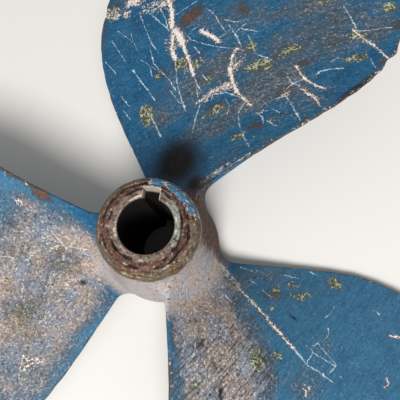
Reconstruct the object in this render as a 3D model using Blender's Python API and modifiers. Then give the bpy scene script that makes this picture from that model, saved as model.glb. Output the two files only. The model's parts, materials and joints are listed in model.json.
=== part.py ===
"""Three-blade, left-hand boat propeller, cast in one piece with its taper-bored hub.

The shaft axis is Z and +Z points aft, towards the nut end of the hub. The keyway is on +Y.
The origin is on the axis at the balance point, just under the middle of the pressure faces.
"""
from math import atan2, cos, degrees, pi, radians, sin, sqrt, tau

import bmesh
import bpy
from mathutils import Vector

# Blades
DIAMETER = 0.4064                   # tip circle, 16 in
PITCH = 0.2667                      # advance in one turn, 10.5 in
BLADE_COUNT = 3
FIRST_BLADE_ANGLE = radians(81.0)   # first blade's tip, counted from +X
BLADE_HALF_ANGLE = radians(54.5)    # half of the blade's spread, before root and tip narrow it
ROOT_SKEW = radians(3.75)           # turn of the blade's middle line from the tip to the axis
ROOT_NARROWING = 0.28               # power of r/R that narrows the blade towards the hub
TIP_ROUNDING = 1.9                  # power of r/R in the rounded end of the outline
RAKE = 0.03                         # lean of the blades towards the forward end, mm per mm
RAKE_RADIUS = 0.142                 # seven tenths of the radius, where FACE_Z is taken
FACE_Z = 0.0015                     # middle of the pressure face there, above the origin
ROOT_THICKNESS = 0.0120             # thickest point of the section at the hub
TIP_THICKNESS = 0.0030              # the same at the tip
EDGE_THICKNESS = 0.0018             # leading and trailing edges, rounded over
ROOT_FILLET = 0.0090                # radius between blade and hub
ROOT_BLEND = 0.030                  # height over which a section forgets the hub's flare
ROOT_BURIAL = 0.0030                # depth of the blade's foot inside the hub

# Hub
HUB_LENGTH = 0.0762                 # 3 in
AFT_FACE_Z = 0.0455                 # nut end of the hub above the origin
SEAT_RADIUS = 0.0140                # flat ring that the nut's washer bears on
SHOULDER_RADIUS = 0.0182            # outer end of the worn slope round the seat
SHOULDER_DROP = 0.0026
AFT_RADIUS = 0.0195                 # barrel, just below the shoulder
AFT_ROUND_DROP = 0.0062
FORWARD_RADIUS = 0.0275             # barrel at the shaft end
FLARE_END_DROP = 0.0620             # depth at which the flare has reached that radius
FORWARD_CHAMFER = 0.0020

# Shaft seat
SHAFT_DIAMETER = 0.0254             # large end of the tapered bore, 1 in
TAPER = 1.0 / 16.0                  # diameter lost per length
KEYWAY_WIDTH = 0.00635              # 1/4 in
KEYWAY_DEPTH = 0.0032

# Facets
HUB_SEGMENTS = 72
BORE_SEGMENTS = 48
FLARE_STEPS = 8
FACE_POINTS = 15                    # across one side of a section
EDGE_POINTS = 3                     # between the two sides of a section, round its edge
FILLET_STEPS = 5
SPAN_STEPS = 15
LAST_SPAN_ANGLE = radians(87.5)     # the outline is cut just short of its vanishing width

CUT_MARGIN = 0.002                  # cutters run past the faces by this
TIP_RADIUS = DIAMETER / 2
PITCH_PER_RADIAN = PITCH / tau
FORWARD_FACE_Z = AFT_FACE_Z - HUB_LENGTH
WELD_DISTANCE = 0.000002


def clear_scene():
    """Remove every object of the file."""
    for item in list(bpy.data.objects):
        bpy.data.objects.remove(item, do_unlink=True)


def collection(name):
    """A new collection under the scene's own."""
    group = bpy.data.collections.new(name)
    bpy.context.scene.collection.children.link(group)
    return group


def add_object(name, mesh, group):
    """An object for the mesh, linked to the collection."""
    item = bpy.data.objects.new(name, mesh)
    group.objects.link(item)
    return item


def mark_as_guide(item):
    """Hide a construction object from renders and show it as wires."""
    item.hide_render = True
    item.display_type = "WIRE"


def painted_bronze():
    """Blue paint, dull with age, over bronze."""
    material = bpy.data.materials.new("painted_bronze")
    material.use_nodes = True
    shader = material.node_tree.nodes["Principled BSDF"]
    shader.inputs["Base Color"].default_value = (0.045, 0.17, 0.32, 1.0)
    shader.inputs["Roughness"].default_value = 0.55
    shader.inputs["Metallic"].default_value = 0.0
    return material


def smooth_step(x):
    """Ease from 0 to 1 with level ends."""
    x = min(max(x, 0.0), 1.0)
    return x * x * (3.0 - 2.0 * x)


def barrel_radius(z):
    """Outer radius of the hub's flared barrel at height z, past its ends too."""
    drop = AFT_FACE_Z - z
    share = smooth_step((drop - AFT_ROUND_DROP) / (FLARE_END_DROP - AFT_ROUND_DROP))
    return AFT_RADIUS + (FORWARD_RADIUS - AFT_RADIUS) * share


def hub_profile():
    """Outline of the solid hub as (radius, z), from the aft end's centre to the forward end's."""
    points = [
        (0.0, AFT_FACE_Z),
        (SEAT_RADIUS, AFT_FACE_Z),
        (SHOULDER_RADIUS, AFT_FACE_Z - SHOULDER_DROP),
    ]
    for step in range(FLARE_STEPS + 1):
        drop = AFT_ROUND_DROP + (FLARE_END_DROP - AFT_ROUND_DROP) * step / FLARE_STEPS
        points.append((barrel_radius(AFT_FACE_Z - drop), AFT_FACE_Z - drop))
    points += [
        (FORWARD_RADIUS, FORWARD_FACE_Z + FORWARD_CHAMFER),
        (FORWARD_RADIUS - FORWARD_CHAMFER, FORWARD_FACE_Z),
        (0.0, FORWARD_FACE_Z),
    ]
    return points


def make_hub(group):
    """The hub before boring: its profile turned round the shaft axis."""
    points = [(radius, 0.0, z) for radius, z in hub_profile()]
    mesh = bpy.data.meshes.new("hub_profile")
    mesh.from_pydata(points, [(i, i + 1) for i in range(len(points) - 1)], [])
    hub = add_object("hub", mesh, group)
    turning = hub.modifiers.new("turning", "SCREW")
    turning.axis = "Z"
    turning.steps = HUB_SEGMENTS
    turning.render_steps = HUB_SEGMENTS
    turning.use_merge_vertices = True
    turning.merge_threshold = 0.00001
    return hub


def half_angle(radius):
    """Half of the blade's spread round the shaft at this radius."""
    share = min(radius / TIP_RADIUS, 1.0)
    rounding = sqrt(1.0 - share ** TIP_ROUNDING)
    return BLADE_HALF_ANGLE * share ** ROOT_NARROWING * rounding


def middle_turn(radius):
    """Turn of the blade's middle line from its tip, towards the leading edge."""
    return ROOT_SKEW * (1.0 - radius / TIP_RADIUS) ** 2


def face_height(radius, turn):
    """Height of the pressure face, a left-hand screw surface, at a turn from the blade's tip."""
    return FACE_Z - RAKE * (radius - RAKE_RADIUS) - PITCH_PER_RADIAN * turn


def crown_thickness(radius):
    """Greatest thickness of the section at this radius."""
    root = (AFT_RADIUS + FORWARD_RADIUS) / 2
    share = (radius - root) / (TIP_RADIUS - root)
    return ROOT_THICKNESS + (TIP_THICKNESS - ROOT_THICKNESS) * min(max(share, 0.0), 1.0)


def section(radius, flare):
    """Closed outline of a blade section, grown outwards by flare, as (turn, z) pairs.

    The section is drawn flat, with s round the shaft and z along it. Its pressure side is
    the straight line of the screw surface, its back is a low arch on the forward side, and
    both edges are rounded over. The outline starts at the edge with the greatest s.
    """
    half_chord = radius * half_angle(radius) * sqrt(1.0 + (PITCH_PER_RADIAN / radius) ** 2)
    edge = min(EDGE_THICKNESS, half_chord)
    half_flat = half_chord - edge / 2
    slope = atan2(PITCH_PER_RADIAN, radius)
    along = Vector((cos(slope), -sin(slope)))
    forward = Vector((-sin(slope), -cos(slope)))
    lead = middle_turn(radius)
    middle = Vector((radius * lead, face_height(radius, lead)))
    crown = crown_thickness(radius) - edge

    points = []
    for i in range(FACE_POINTS):
        across = cos(pi * i / (FACE_POINTS - 1))
        points.append((across, -flare))
    rim = edge / 2 + flare
    for i in range(1, EDGE_POINTS + 1):
        bend = pi * i / (EDGE_POINTS + 1)
        points.append((-1.0 - rim * sin(bend) / half_flat, edge / 2 - rim * cos(bend)))
    for i in range(FACE_POINTS):
        across = -cos(pi * i / (FACE_POINTS - 1))
        points.append((across, edge + crown * (1.0 - across * across) + flare))
    for i in range(1, EDGE_POINTS + 1):
        bend = pi * i / (EDGE_POINTS + 1)
        points.append((1.0 + rim * sin(bend) / half_flat, edge / 2 + rim * cos(bend)))

    flat = [middle + along * (half_flat * across) + forward * depth for across, depth in points]
    return [(point.x / radius, point.y) for point in flat]


def section_ring(radius, flare, lift, follow):
    """A section wrapped onto its cylinder, in space.

    Near the hub each point keeps its height, lift, above the flared barrel. The share
    follow fades that out, so that further up the ring has one radius.
    """
    ring = []
    level = barrel_radius(FACE_Z)
    for turn, z in section(radius, flare):
        reach = radius + (barrel_radius(z) - level) * follow
        if follow == 1.0:
            reach = barrel_radius(z) + lift
        ring.append(Vector((reach * cos(turn), reach * sin(turn), z)))
    return ring


def blade_rings():
    """The rings of one blade, from its foot inside the hub to its tip."""
    level = barrel_radius(FACE_Z)
    rings = [section_ring(level - ROOT_BURIAL, ROOT_FILLET, -ROOT_BURIAL, 1.0)]
    for step in range(FILLET_STEPS):
        bend = (pi / 2) * step / FILLET_STEPS
        lift = ROOT_FILLET * (1.0 - cos(bend))
        rings.append(section_ring(level + lift, ROOT_FILLET * (1.0 - sin(bend)), lift, 1.0))
    start = level + ROOT_FILLET
    for step in range(SPAN_STEPS + 1):
        bend = LAST_SPAN_ANGLE * step / SPAN_STEPS
        radius = start + (TIP_RADIUS - start) * sin(bend)
        follow = 1.0 - smooth_step((radius - start) / ROOT_BLEND)
        rings.append(section_ring(radius, 0.0, ROOT_FILLET, follow))
    return rings


def blade_mesh():
    """One blade, lofted through its rings and closed at foot and tip."""
    shape = bmesh.new()
    rings = [[shape.verts.new(point) for point in ring] for ring in blade_rings()]
    count = len(rings[0])
    for lower, upper in zip(rings, rings[1:]):
        for i in range(count):
            j = (i + 1) % count
            shape.faces.new((lower[i], upper[i], upper[j], lower[j]))
    for ring in (rings[0], rings[-1]):
        close_ring(shape, ring)
    bmesh.ops.recalc_face_normals(shape, faces=shape.faces)
    mesh = bpy.data.meshes.new("blade")
    shape.to_mesh(mesh)
    shape.free()
    return mesh


def close_ring(shape, ring):
    """Close a section with strips from its pressure side to its back."""
    last = FACE_POINTS + EDGE_POINTS
    front = ring[:FACE_POINTS]
    back = ring[last:last + FACE_POINTS][::-1]
    for i in range(FACE_POINTS - 1):
        shape.faces.new((front[i], front[i + 1], back[i + 1], back[i]))
    shape.faces.new([front[-1]] + ring[FACE_POINTS:last] + [back[-1]])
    shape.faces.new([back[0]] + ring[last + FACE_POINTS:] + [front[0]])


def make_blades(group):
    """All blades, spaced evenly round the hub and sharing one mesh."""
    mesh = blade_mesh()
    for index in range(BLADE_COUNT):
        blade = add_object(f"blade_{index + 1}", mesh, group)
        blade.rotation_euler.z = FIRST_BLADE_ANGLE + tau * index / BLADE_COUNT
        mark_as_guide(blade)


def bore_radius(z):
    """Radius of the tapered bore at height z."""
    return (SHAFT_DIAMETER - TAPER * (z - FORWARD_FACE_Z)) / 2


def make_bore_cutter(group):
    """A cone for the shaft's taper, a little longer than the hub."""
    top = AFT_FACE_Z + CUT_MARGIN
    bottom = FORWARD_FACE_Z - CUT_MARGIN
    mesh = bpy.data.meshes.new("bore_cutter")
    shape = bmesh.new()
    bmesh.ops.create_cone(
        shape, cap_ends=True, segments=BORE_SEGMENTS,
        radius1=bore_radius(bottom), radius2=bore_radius(top), depth=top - bottom,
    )
    shape.to_mesh(mesh)
    shape.free()
    cutter = add_object("bore_cutter", mesh, group)
    cutter.location.z = (top + bottom) / 2
    mark_as_guide(cutter)


def make_keyway_cutter(group):
    """A bar whose outer side is the keyway's floor, sloped like the bore."""
    mesh = bpy.data.meshes.new("keyway_cutter")
    shape = bmesh.new()
    bmesh.ops.create_cube(shape, size=1.0)
    height = bore_radius(AFT_FACE_Z) + KEYWAY_DEPTH
    for vertex in shape.verts:
        vertex.co.x *= KEYWAY_WIDTH
        vertex.co.z *= HUB_LENGTH + 2 * CUT_MARGIN
    for vertex in shape.verts:
        z = vertex.co.z + (AFT_FACE_Z + FORWARD_FACE_Z) / 2
        floor = bore_radius(z) + KEYWAY_DEPTH
        vertex.co.y = floor if vertex.co.y > 0.0 else floor - height
        vertex.co.z = z
    shape.to_mesh(mesh)
    shape.free()
    cutter = add_object("keyway_cutter", mesh, group)
    mark_as_guide(cutter)


def add_boolean(item, name, operation, operands):
    """Join the casting with a collection of objects, or cut it with them."""
    modifier = item.modifiers.new(name, "BOOLEAN")
    modifier.operation = operation
    modifier.operand_type = "COLLECTION"
    modifier.collection = operands
    modifier.solver = "EXACT"


def make_casting(hub, blades, cutters, group):
    """The finished casting: hub and blades in one body, bored and keyed."""
    add_boolean(hub, "cast_blades", "UNION", blades)
    add_boolean(hub, "machined_bore", "DIFFERENCE", cutters)
    mark_as_guide(hub)
    bpy.context.view_layer.update()
    evaluated = hub.evaluated_get(bpy.context.evaluated_depsgraph_get())
    mesh = bpy.data.meshes.new_from_object(evaluated)
    shape = bmesh.new()
    shape.from_mesh(mesh)
    bmesh.ops.remove_doubles(shape, verts=shape.verts, dist=WELD_DISTANCE)
    shape.to_mesh(mesh)
    shape.free()
    mesh.name = "propeller_casting"
    mesh.materials.clear()
    mesh.materials.append(painted_bronze())
    mesh.shade_smooth()
    mesh.set_sharp_from_angle(angle=radians(35.0))
    return add_object("propeller_casting", mesh, group)


def main():
    """Build the propeller."""
    clear_scene()
    propeller = collection("propeller")
    rough = collection("rough_hub")
    blades = collection("blades")
    cutters = collection("cutters")
    hub = make_hub(rough)
    make_blades(blades)
    make_bore_cutter(cutters)
    make_keyway_cutter(cutters)
    casting = make_casting(hub, blades, cutters, propeller)
    spread = degrees(2 * half_angle(0.7 * TIP_RADIUS))
    print(f"{casting.name}: {len(casting.data.polygons)} faces, blade spread {spread:.1f} degrees")


main()
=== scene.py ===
"""A three-blade boat propeller in worn blue paint, cast in one piece, on a plain studio floor.

Lengths are metres, the shaft axis is Z and +Z points aft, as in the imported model. Marks of wear
are named by where they show in a picture of 400 by 400 pixels, taken from the Viewpoint below,
and are laid on the casting along the camera's rays. Mark sizes are real millimetres.
"""

import json
import logging
import random
from dataclasses import dataclass, field
from enum import Enum
from functools import cached_property
from math import atan2, cos, hypot, inf, pi, radians, sin, sqrt, tau

import bmesh
import bpy
from mathutils import Matrix, Vector
from mathutils import noise as rough
from mathutils.bvhtree import BVHTree
from mathutils.kdtree import KDTree

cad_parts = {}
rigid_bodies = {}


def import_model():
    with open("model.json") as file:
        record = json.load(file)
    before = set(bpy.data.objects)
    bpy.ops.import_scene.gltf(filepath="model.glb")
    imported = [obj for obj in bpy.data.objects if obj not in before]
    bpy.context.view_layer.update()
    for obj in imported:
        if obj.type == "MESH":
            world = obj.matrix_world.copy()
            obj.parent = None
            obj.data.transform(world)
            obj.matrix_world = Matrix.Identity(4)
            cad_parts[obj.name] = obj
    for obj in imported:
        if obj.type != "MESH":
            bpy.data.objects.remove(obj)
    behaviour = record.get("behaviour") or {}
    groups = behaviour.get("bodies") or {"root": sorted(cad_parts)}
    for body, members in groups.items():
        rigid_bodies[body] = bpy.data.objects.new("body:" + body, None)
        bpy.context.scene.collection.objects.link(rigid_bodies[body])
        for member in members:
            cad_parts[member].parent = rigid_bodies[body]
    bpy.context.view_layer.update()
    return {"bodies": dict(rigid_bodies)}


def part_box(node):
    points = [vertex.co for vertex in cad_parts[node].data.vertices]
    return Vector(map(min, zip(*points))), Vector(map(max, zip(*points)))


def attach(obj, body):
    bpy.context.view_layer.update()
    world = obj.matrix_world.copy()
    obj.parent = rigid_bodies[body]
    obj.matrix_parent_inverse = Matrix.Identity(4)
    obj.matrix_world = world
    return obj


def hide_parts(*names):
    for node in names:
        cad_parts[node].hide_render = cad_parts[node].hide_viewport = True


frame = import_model()
CASTING = "propeller_casting"
MM = 0.001

log = logging.getLogger("propeller")

Pixel = tuple[float, float]
Colour = tuple[float, float, float, float]

WELD = 0.000002  # points closer than this are one point
ROOT_MARGIN = 0.012  # blade edges stay sound this far out from the fillet
SEAT_GREEN_TURN = radians(15.5)  # the side of the nut seat that has gone green
BROWN_TURN = radians(32.0)  # the side of the hub's flank that is stained brown
PALE_LIT_TURN = radians(-85.0)  # and the side towards the key light, pale: rubbed paint with a painted highlight
PLAN = (1.0, 1.0, 0.0)  # lays a vector flat, as seen along the shaft axis, when multiplied by it


def smooth_step(share: float) -> float:
    """Ease from 0 to 1 with level ends."""
    share = min(max(share, 0.0), 1.0)
    return share * share * (3.0 - 2.0 * share)


def srgb(red: int, green: int, blue: int) -> Colour:
    """Turn a colour as seen on a screen, 0 to 255, into a linear one for a shader.

    Args:
        red: Red part, 0 to 255.
        green: Green part.
        blue: Blue part.

    Returns:
        The linear colour with full alpha.
    """
    parts = [part / 255.0 for part in (red, green, blue)]
    linear = [p / 12.92 if p <= 0.04045 else ((p + 0.055) / 1.055) ** 2.4 for p in parts]
    return (*linear, 1.0)


def wrapped(angle: float) -> float:
    """The same angle, counted from half a turn back to half a turn on."""
    return (angle + pi) % tau - pi


def polar(radius: float, angle: float, z: float = 0.0) -> Vector:
    """A point by its distance from the shaft axis and its direction from +X."""
    return Vector((radius * cos(angle), radius * sin(angle), z))


def add_object(name: str, data: bpy.types.ID) -> bpy.types.Object:
    """Add an object to the scene.

    Args:
        name: Its name.
        data: Its mesh, lamp or lens.

    Returns:
        The object, at the origin.
    """
    made = bpy.data.objects.new(name, data)
    bpy.context.scene.collection.objects.link(made)
    return made


def to_object(shape: bmesh.types.BMesh, name: str) -> bpy.types.Object:
    """Turn a finished bmesh into an object of the scene, and free it.

    Args:
        shape: The bmesh.
        name: The object's name.

    Returns:
        The object, at the origin.
    """
    mesh = bpy.data.meshes.new(name)
    shape.to_mesh(mesh)
    shape.free()
    return add_object(name, mesh)


class Blade(Enum):
    """The blades by their place in the picture, counted anticlockwise."""

    UPPER = 0
    LEFT = 1
    RIGHT = 2


class Edge(Enum):
    """The two edges of a blade, by the side of its middle line that they are on."""

    LEADING = 1
    TRAILING = -1


class Wear(Enum):
    """What has happened to the surface; each is a point attribute of the casting's mesh."""

    WORN = "worn"
    VERDIGRIS = "verdigris"
    RUST = "rust"
    BARE = "bare"
    # dark grime, and painted shadow where the hub shades the upper blade's root
    GRIME = "grime"
    FLAKES = "flakes"
    RIM = "rim"
    HOLLOW = "hollow"


def store(mesh: bpy.types.Mesh, wear: Wear, values: list[float]) -> None:
    """Store one kind of wear on a mesh."""
    mesh.attributes.new(wear.value, "FLOAT", "POINT").data.foreach_set("value", values)


@dataclass(frozen=True)
class Viewpoint:
    """The camera over the hub. The picture's x is to the right, y up and z towards the camera."""

    aft_face: float  # height of the hub's aft face
    picture_size: int = 400
    focal_length: float = 390.0  # in pixels
    sensor_width: float = 36.0  # in millimetres
    tilt: float = radians(-13.50)  # of the shaft axis about the picture's x
    lean: float = radians(-1.41)  # and about its y
    roll: float = radians(-8.5)  # of the casting's +X from the picture's x
    hub_place: tuple[float, float, float] = (-0.01926, -0.00889, -0.13726)
    clip_start: float = 0.01

    def from_casting(self) -> Matrix:
        """Place the casting before the camera.

        Returns:
            The matrix from the casting's coordinates to the camera's.
        """
        turned = Matrix.Rotation(self.tilt, 4, "X") @ Matrix.Rotation(self.lean, 4, "Y")
        lowered = Matrix.Translation((0.0, 0.0, -self.aft_face))
        rolled = Matrix.Rotation(self.roll, 4, "Z")
        return Matrix.Translation(self.hub_place) @ turned @ lowered @ rolled

    def ray(self, pixel: Pixel) -> tuple[Vector, Vector]:
        """The line of sight through a pixel.

        Args:
            pixel: Place in the picture, from its upper left corner.

        Returns:
            Where the ray starts and its direction, in the casting's coordinates.
        """
        half = self.picture_size / 2
        sight = Vector((pixel[0] - half, half - pixel[1], -self.focal_length))
        to_casting = self.from_casting().inverted()
        return to_casting.translation, (to_casting.to_3x3() @ sight).normalized()

    def shows(self, point: Vector) -> bool:
        """Whether a point of the casting falls inside the picture.

        Args:
            point: The point, in the casting's coordinates.

        Returns:
            True inside the picture's frame, even if something hides the point.
        """
        seen = self.from_casting() @ point
        reach = -seen.z * self.picture_size / 2 / self.focal_length
        return seen.z < 0.0 and abs(seen.x) < reach and abs(seen.y) < reach

    def create(self) -> None:
        """Add the camera and make it the scene's own."""
        lens = bpy.data.cameras.new("viewpoint")
        lens.sensor_width = self.sensor_width
        lens.lens = self.sensor_width * self.focal_length / self.picture_size
        lens.clip_start = self.clip_start
        camera = add_object("viewpoint", lens)
        camera.matrix_world = self.from_casting().inverted()
        bpy.context.scene.camera = camera


@dataclass(frozen=True)
class Nick:
    """A chip or a filed stretch of a blade's edge."""

    blade: Blade
    edge: Edge
    radius: float
    half_width: float
    depth: float

    def loss(self, radius: float) -> float:
        """Depth that this nick takes off the edge at a radius."""
        return self.depth * (1.0 - smooth_step(abs(radius - self.radius) / self.half_width))


@dataclass
class HubForm:
    """Flared hub, from its flat nut seat to its shaft end, with a tapered bore and a keyway."""

    aft_face: float
    forward_face: float
    seat_radius: float = 0.0140
    shoulder_radius: float = 0.0182
    shoulder_drop: float = 0.0026
    aft_radius: float = 0.0195
    aft_round_drop: float = 0.0062
    forward_radius: float = 0.0275
    flare_end_drop: float = 0.0620
    forward_chamfer: float = 0.0020
    bore_diameter: float = 0.0254
    taper: float = 1.0 / 16.0
    bore_lip: float = 0.0005
    keyway_width: float = 0.00635
    keyway_depth: float = 0.0032
    segments: int = 240
    cut_margin: float = 0.002
    end_cell: float = 0.0005  # mesh size on the worn aft end
    barrel_cell: float = 0.0018  # and along the barrel
    shoulder_smoothing: int = 3  # rounds of it

    def barrel_radius(self, z: float) -> float:
        """Outer radius of the flared barrel.

        Args:
            z: Height along the shaft, which may lie past the barrel's ends.

        Returns:
            The radius.
        """
        drop = self.aft_face - z
        share = (drop - self.aft_round_drop) / (self.flare_end_drop - self.aft_round_drop)
        return self.aft_radius + (self.forward_radius - self.aft_radius) * smooth_step(share)

    def bore_radius(self, z: float) -> float:
        """Radius of the tapered bore at height z."""
        return (self.bore_diameter - self.taper * (z - self.forward_face)) / 2

    def profile(self) -> list[Vector]:
        """Corners of half the hub's section, round from the forward end of its bore.

        Returns:
            Points in the XZ plane, of a closed outline.
        """
        top, bottom = self.aft_face, self.forward_face
        lip = self.bore_lip
        corners = [
            (self.bore_radius(bottom) + lip, bottom),
            (self.bore_radius(bottom), bottom + lip),
            (self.bore_radius(top), top - lip),
            (self.bore_radius(top) + lip, top),
            (self.seat_radius, top),
            (self.shoulder_radius, top - self.shoulder_drop),
            (self.aft_radius, top - self.aft_round_drop),
            (self.forward_radius, top - self.flare_end_drop),
            (self.forward_radius, bottom + self.forward_chamfer),
            (self.forward_radius - self.forward_chamfer, bottom),
        ]
        return [Vector((radius, 0.0, z)) for radius, z in corners]

    def cuts(self, middle: Vector, length: float) -> int:
        """How many times an edge of the profile is cut.

        Args:
            middle: The edge's middle.
            length: Its length.

        Returns:
            The number of new vertices on it.
        """
        inside = middle.x < self.seat_radius - self.bore_lip * 2 and middle.z < self.aft_face - self.bore_lip
        end = middle.z > self.aft_face - self.aft_round_drop - MM
        cell = self.end_cell if end else self.barrel_cell
        return 0 if inside else max(int(length / cell) - 1, 0)

    def build(self) -> bpy.types.Object:
        """Spin the profile round the shaft axis into a closed, bored hub.

        Returns:
            The hub, without its keyway.
        """
        shape = bmesh.new()
        corners = [shape.verts.new(point) for point in self.profile()]
        for start, end in zip(corners, corners[1:] + corners[:1]):
            shape.edges.new((start, end))
        for edge in list(shape.edges):
            middle = (edge.verts[0].co + edge.verts[1].co) / 2
            cuts = self.cuts(middle, edge.calc_length())
            if cuts:
                bmesh.ops.subdivide_edges(shape, edges=[edge], cuts=cuts)
        flare_top = self.aft_face - self.aft_round_drop
        flare_bottom = self.aft_face - self.flare_end_drop
        for vertex in shape.verts:
            if vertex.co.x > self.shoulder_radius and flare_bottom < vertex.co.z < flare_top:
                vertex.co.x = self.barrel_radius(vertex.co.z)
        shoulder = [v for v in shape.verts if v.co.x > self.seat_radius - MM and v.co.z > flare_top - MM]
        for _ in range(self.shoulder_smoothing):
            bmesh.ops.smooth_vert(
                shape, verts=shoulder, factor=0.5, use_axis_x=True, use_axis_y=True, use_axis_z=True,
            )
        bmesh.ops.spin(
            shape, geom=list(shape.verts) + list(shape.edges), cent=(0.0, 0.0, 0.0),
            axis=(0.0, 0.0, 1.0), angle=tau, steps=self.segments, use_merge=True,
        )
        bmesh.ops.remove_doubles(shape, verts=shape.verts, dist=WELD)
        bmesh.ops.recalc_face_normals(shape, faces=shape.faces)
        return to_object(shape, "hub")

    def keyway(self) -> bpy.types.Object:
        """A bar that cuts the keyway, its outer side sloped like the bore.

        Returns:
            The cutter.
        """
        shape = bmesh.new()
        bmesh.ops.create_cube(shape, size=1.0)
        length = self.aft_face - self.forward_face + 2 * self.cut_margin
        inner = self.bore_radius(self.aft_face) / 2
        for vertex in shape.verts:
            z = (self.aft_face + self.forward_face) / 2 + vertex.co.z * length
            floor = self.bore_radius(z) + self.keyway_depth
            vertex.co = Vector((
                vertex.co.x * self.keyway_width, floor if vertex.co.y > 0.0 else inner, z,
            ))
        return to_object(shape, "keyway_cutter")


@dataclass
class BladeForm:
    """One blade: a left-hand screw surface of even pitch with an arched back."""

    hub: HubForm
    tip_radius: float = 0.2032
    pitch: float = 0.2667
    first_angle: float = radians(81.0)
    spread: float = radians(54.5)
    root_skew: float = radians(3.75)
    root_narrowing: float = 0.28
    tip_rounding: float = 1.9
    rake: float = 0.03
    rake_radius: float = 0.142
    face_height: float = 0.0015
    root_thickness: float = 0.0120
    tip_thickness: float = 0.0030
    edge_thickness: float = 0.0018
    root_fillet: float = 0.0090
    root_blend: float = 0.030
    root_burial: float = 0.0030
    edge_wear: float = 0.0004
    edge_wear_length: float = 0.006
    sound_radius: float = 0.04  # edges are sound inside this radius
    sound_blend: float = 0.02  # and wear sets in over this length
    face_points: int = 150
    back_points: int = 56
    rim_points: int = 5
    edge_crowding: float = 0.45
    fillet_steps: int = 14
    span_steps: int = 92
    last_span_angle: float = radians(87.5)
    tip_wear: float = 0.0003
    nicks: tuple[Nick, ...] = ()
    advance: float = field(init=False)

    def __post_init__(self) -> None:
        """Work out the advance for each radian of turn."""
        self.advance = self.pitch / tau

    def angle(self, blade: Blade) -> float:
        """Direction of a blade's tip, counted from +X."""
        return self.first_angle + tau * blade.value / len(Blade)

    def half_angle(self, radius: float) -> float:
        """Half of the blade's spread round the shaft at a radius."""
        share = min(radius / (self.tip_radius - self.tip_wear), 1.0)
        return self.spread * share ** self.root_narrowing * sqrt(1.0 - share ** self.tip_rounding)

    def middle_turn(self, radius: float) -> float:
        """Turn of the blade's middle line from its tip, towards the leading edge."""
        return self.root_skew * (1.0 - radius / self.tip_radius) ** 2

    def height(self, radius: float, turn: float) -> float:
        """Height of the pressure face at a turn from the blade's tip."""
        return self.face_height - self.rake * (radius - self.rake_radius) - self.advance * turn

    def crown(self, radius: float) -> float:
        """Greatest thickness of a section.

        Args:
            radius: Its distance from the shaft axis.

        Returns:
            The thickness, which falls evenly from root to tip.
        """
        root = (self.hub.aft_radius + self.hub.forward_radius) / 2
        share = min(max((radius - root) / (self.tip_radius - root), 0.0), 1.0)
        return self.root_thickness + (self.tip_thickness - self.root_thickness) * share

    def edge_loss(self, blade: Blade, edge: Edge, radius: float) -> float:
        """How far an edge is worn and filed back at a radius.

        Args:
            blade: The blade.
            edge: Which of its edges.
            radius: Distance from the shaft axis.

        Returns:
            The length taken off the section.
        """
        seed = Vector((radius / self.edge_wear_length, 7.0 * blade.value, 3.0 * edge.value))
        wear = self.edge_wear * (1.0 + rough.noise(seed) + 0.5 * rough.noise(seed * 3.1))
        filed = sum(
            nick.loss(radius) for nick in self.nicks if nick.blade is blade and nick.edge is edge
        )
        chord = radius * self.half_angle(radius)
        worn = smooth_step((radius - self.sound_radius) / self.sound_blend)
        return min((wear + filed) * worn, chord / 4)

    def across(self, index: int, count: int) -> float:
        """Place of a point across the section.

        Args:
            index: The point's number.
            count: How many points there are.

        Returns:
            Its place from 1 to -1. The points crowd towards the edges.
        """
        share = index / (count - 1)
        even = 1.0 - 2.0 * share
        return even + (cos(pi * share) - even) * self.edge_crowding

    def section(self, blade: Blade, radius: float, flare: float) -> list[tuple[float, float]]:
        """Closed outline of a section, grown outwards by the fillet's flare.

        The section is drawn flat, with s round the shaft and z along it. Its pressure side is
        straight, its back is a low arch on the forward side, and both edges are rounded over.

        Args:
            blade: The blade that it belongs to.
            radius: Its distance from the shaft axis.
            flare: How far it is grown outwards.

        Returns:
            Pairs of turn and height, from the leading edge over the pressure side and back.
        """
        half_chord = radius * self.half_angle(radius) * sqrt(1.0 + (self.advance / radius) ** 2)
        edge = min(self.edge_thickness, half_chord)
        leading = half_chord - edge / 2 - self.edge_loss(blade, Edge.LEADING, radius)
        trailing = half_chord - edge / 2 - self.edge_loss(blade, Edge.TRAILING, radius)
        half_flat, shift = (leading + trailing) / 2, (leading - trailing) / 2
        slope = atan2(self.advance, radius)
        along = Vector((cos(slope), -sin(slope)))
        forward = Vector((-sin(slope), -cos(slope)))
        lead = self.middle_turn(radius)
        middle = Vector((radius * lead, self.height(radius, lead))) + along * shift
        crown = self.crown(radius) - edge
        rim = edge / 2 + flare
        bends = [pi * (i + 1) / (self.rim_points + 1) for i in range(self.rim_points)]

        points = [(self.across(i, self.face_points), -flare) for i in range(self.face_points)]
        points += [(-1.0 - rim * sin(bend) / half_flat, edge / 2 - rim * cos(bend)) for bend in bends]
        for i in range(self.back_points):
            across = -self.across(i, self.back_points)
            points.append((across, edge + crown * (1.0 - across * across) + flare))
        points += [(1.0 + rim * sin(bend) / half_flat, edge / 2 + rim * cos(bend)) for bend in bends]
        flat = [middle + along * (half_flat * across) + forward * depth for across, depth in points]
        return [(point.x / radius, point.y) for point in flat]

    def ring(self, blade: Blade, radius: float, flare: float, lift: float, follow: float) -> list[Vector]:
        """A section wrapped onto its cylinder.

        Args:
            blade: The blade that it belongs to.
            radius: The cylinder's radius.
            flare: How far the section is grown outwards.
            lift: Height above the flared barrel, where the ring follows it closely.
            follow: Share of the barrel's flare that the ring follows, 1 on the fillet.

        Returns:
            The ring's points.
        """
        points = []
        level = self.hub.barrel_radius(self.face_height)
        for turn, z in self.section(blade, radius, flare):
            reach = radius + (self.hub.barrel_radius(z) - level) * follow
            if follow == 1.0:
                reach = self.hub.barrel_radius(z) + lift
            points.append(polar(reach, self.angle(blade) + turn, z))
        return points

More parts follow.
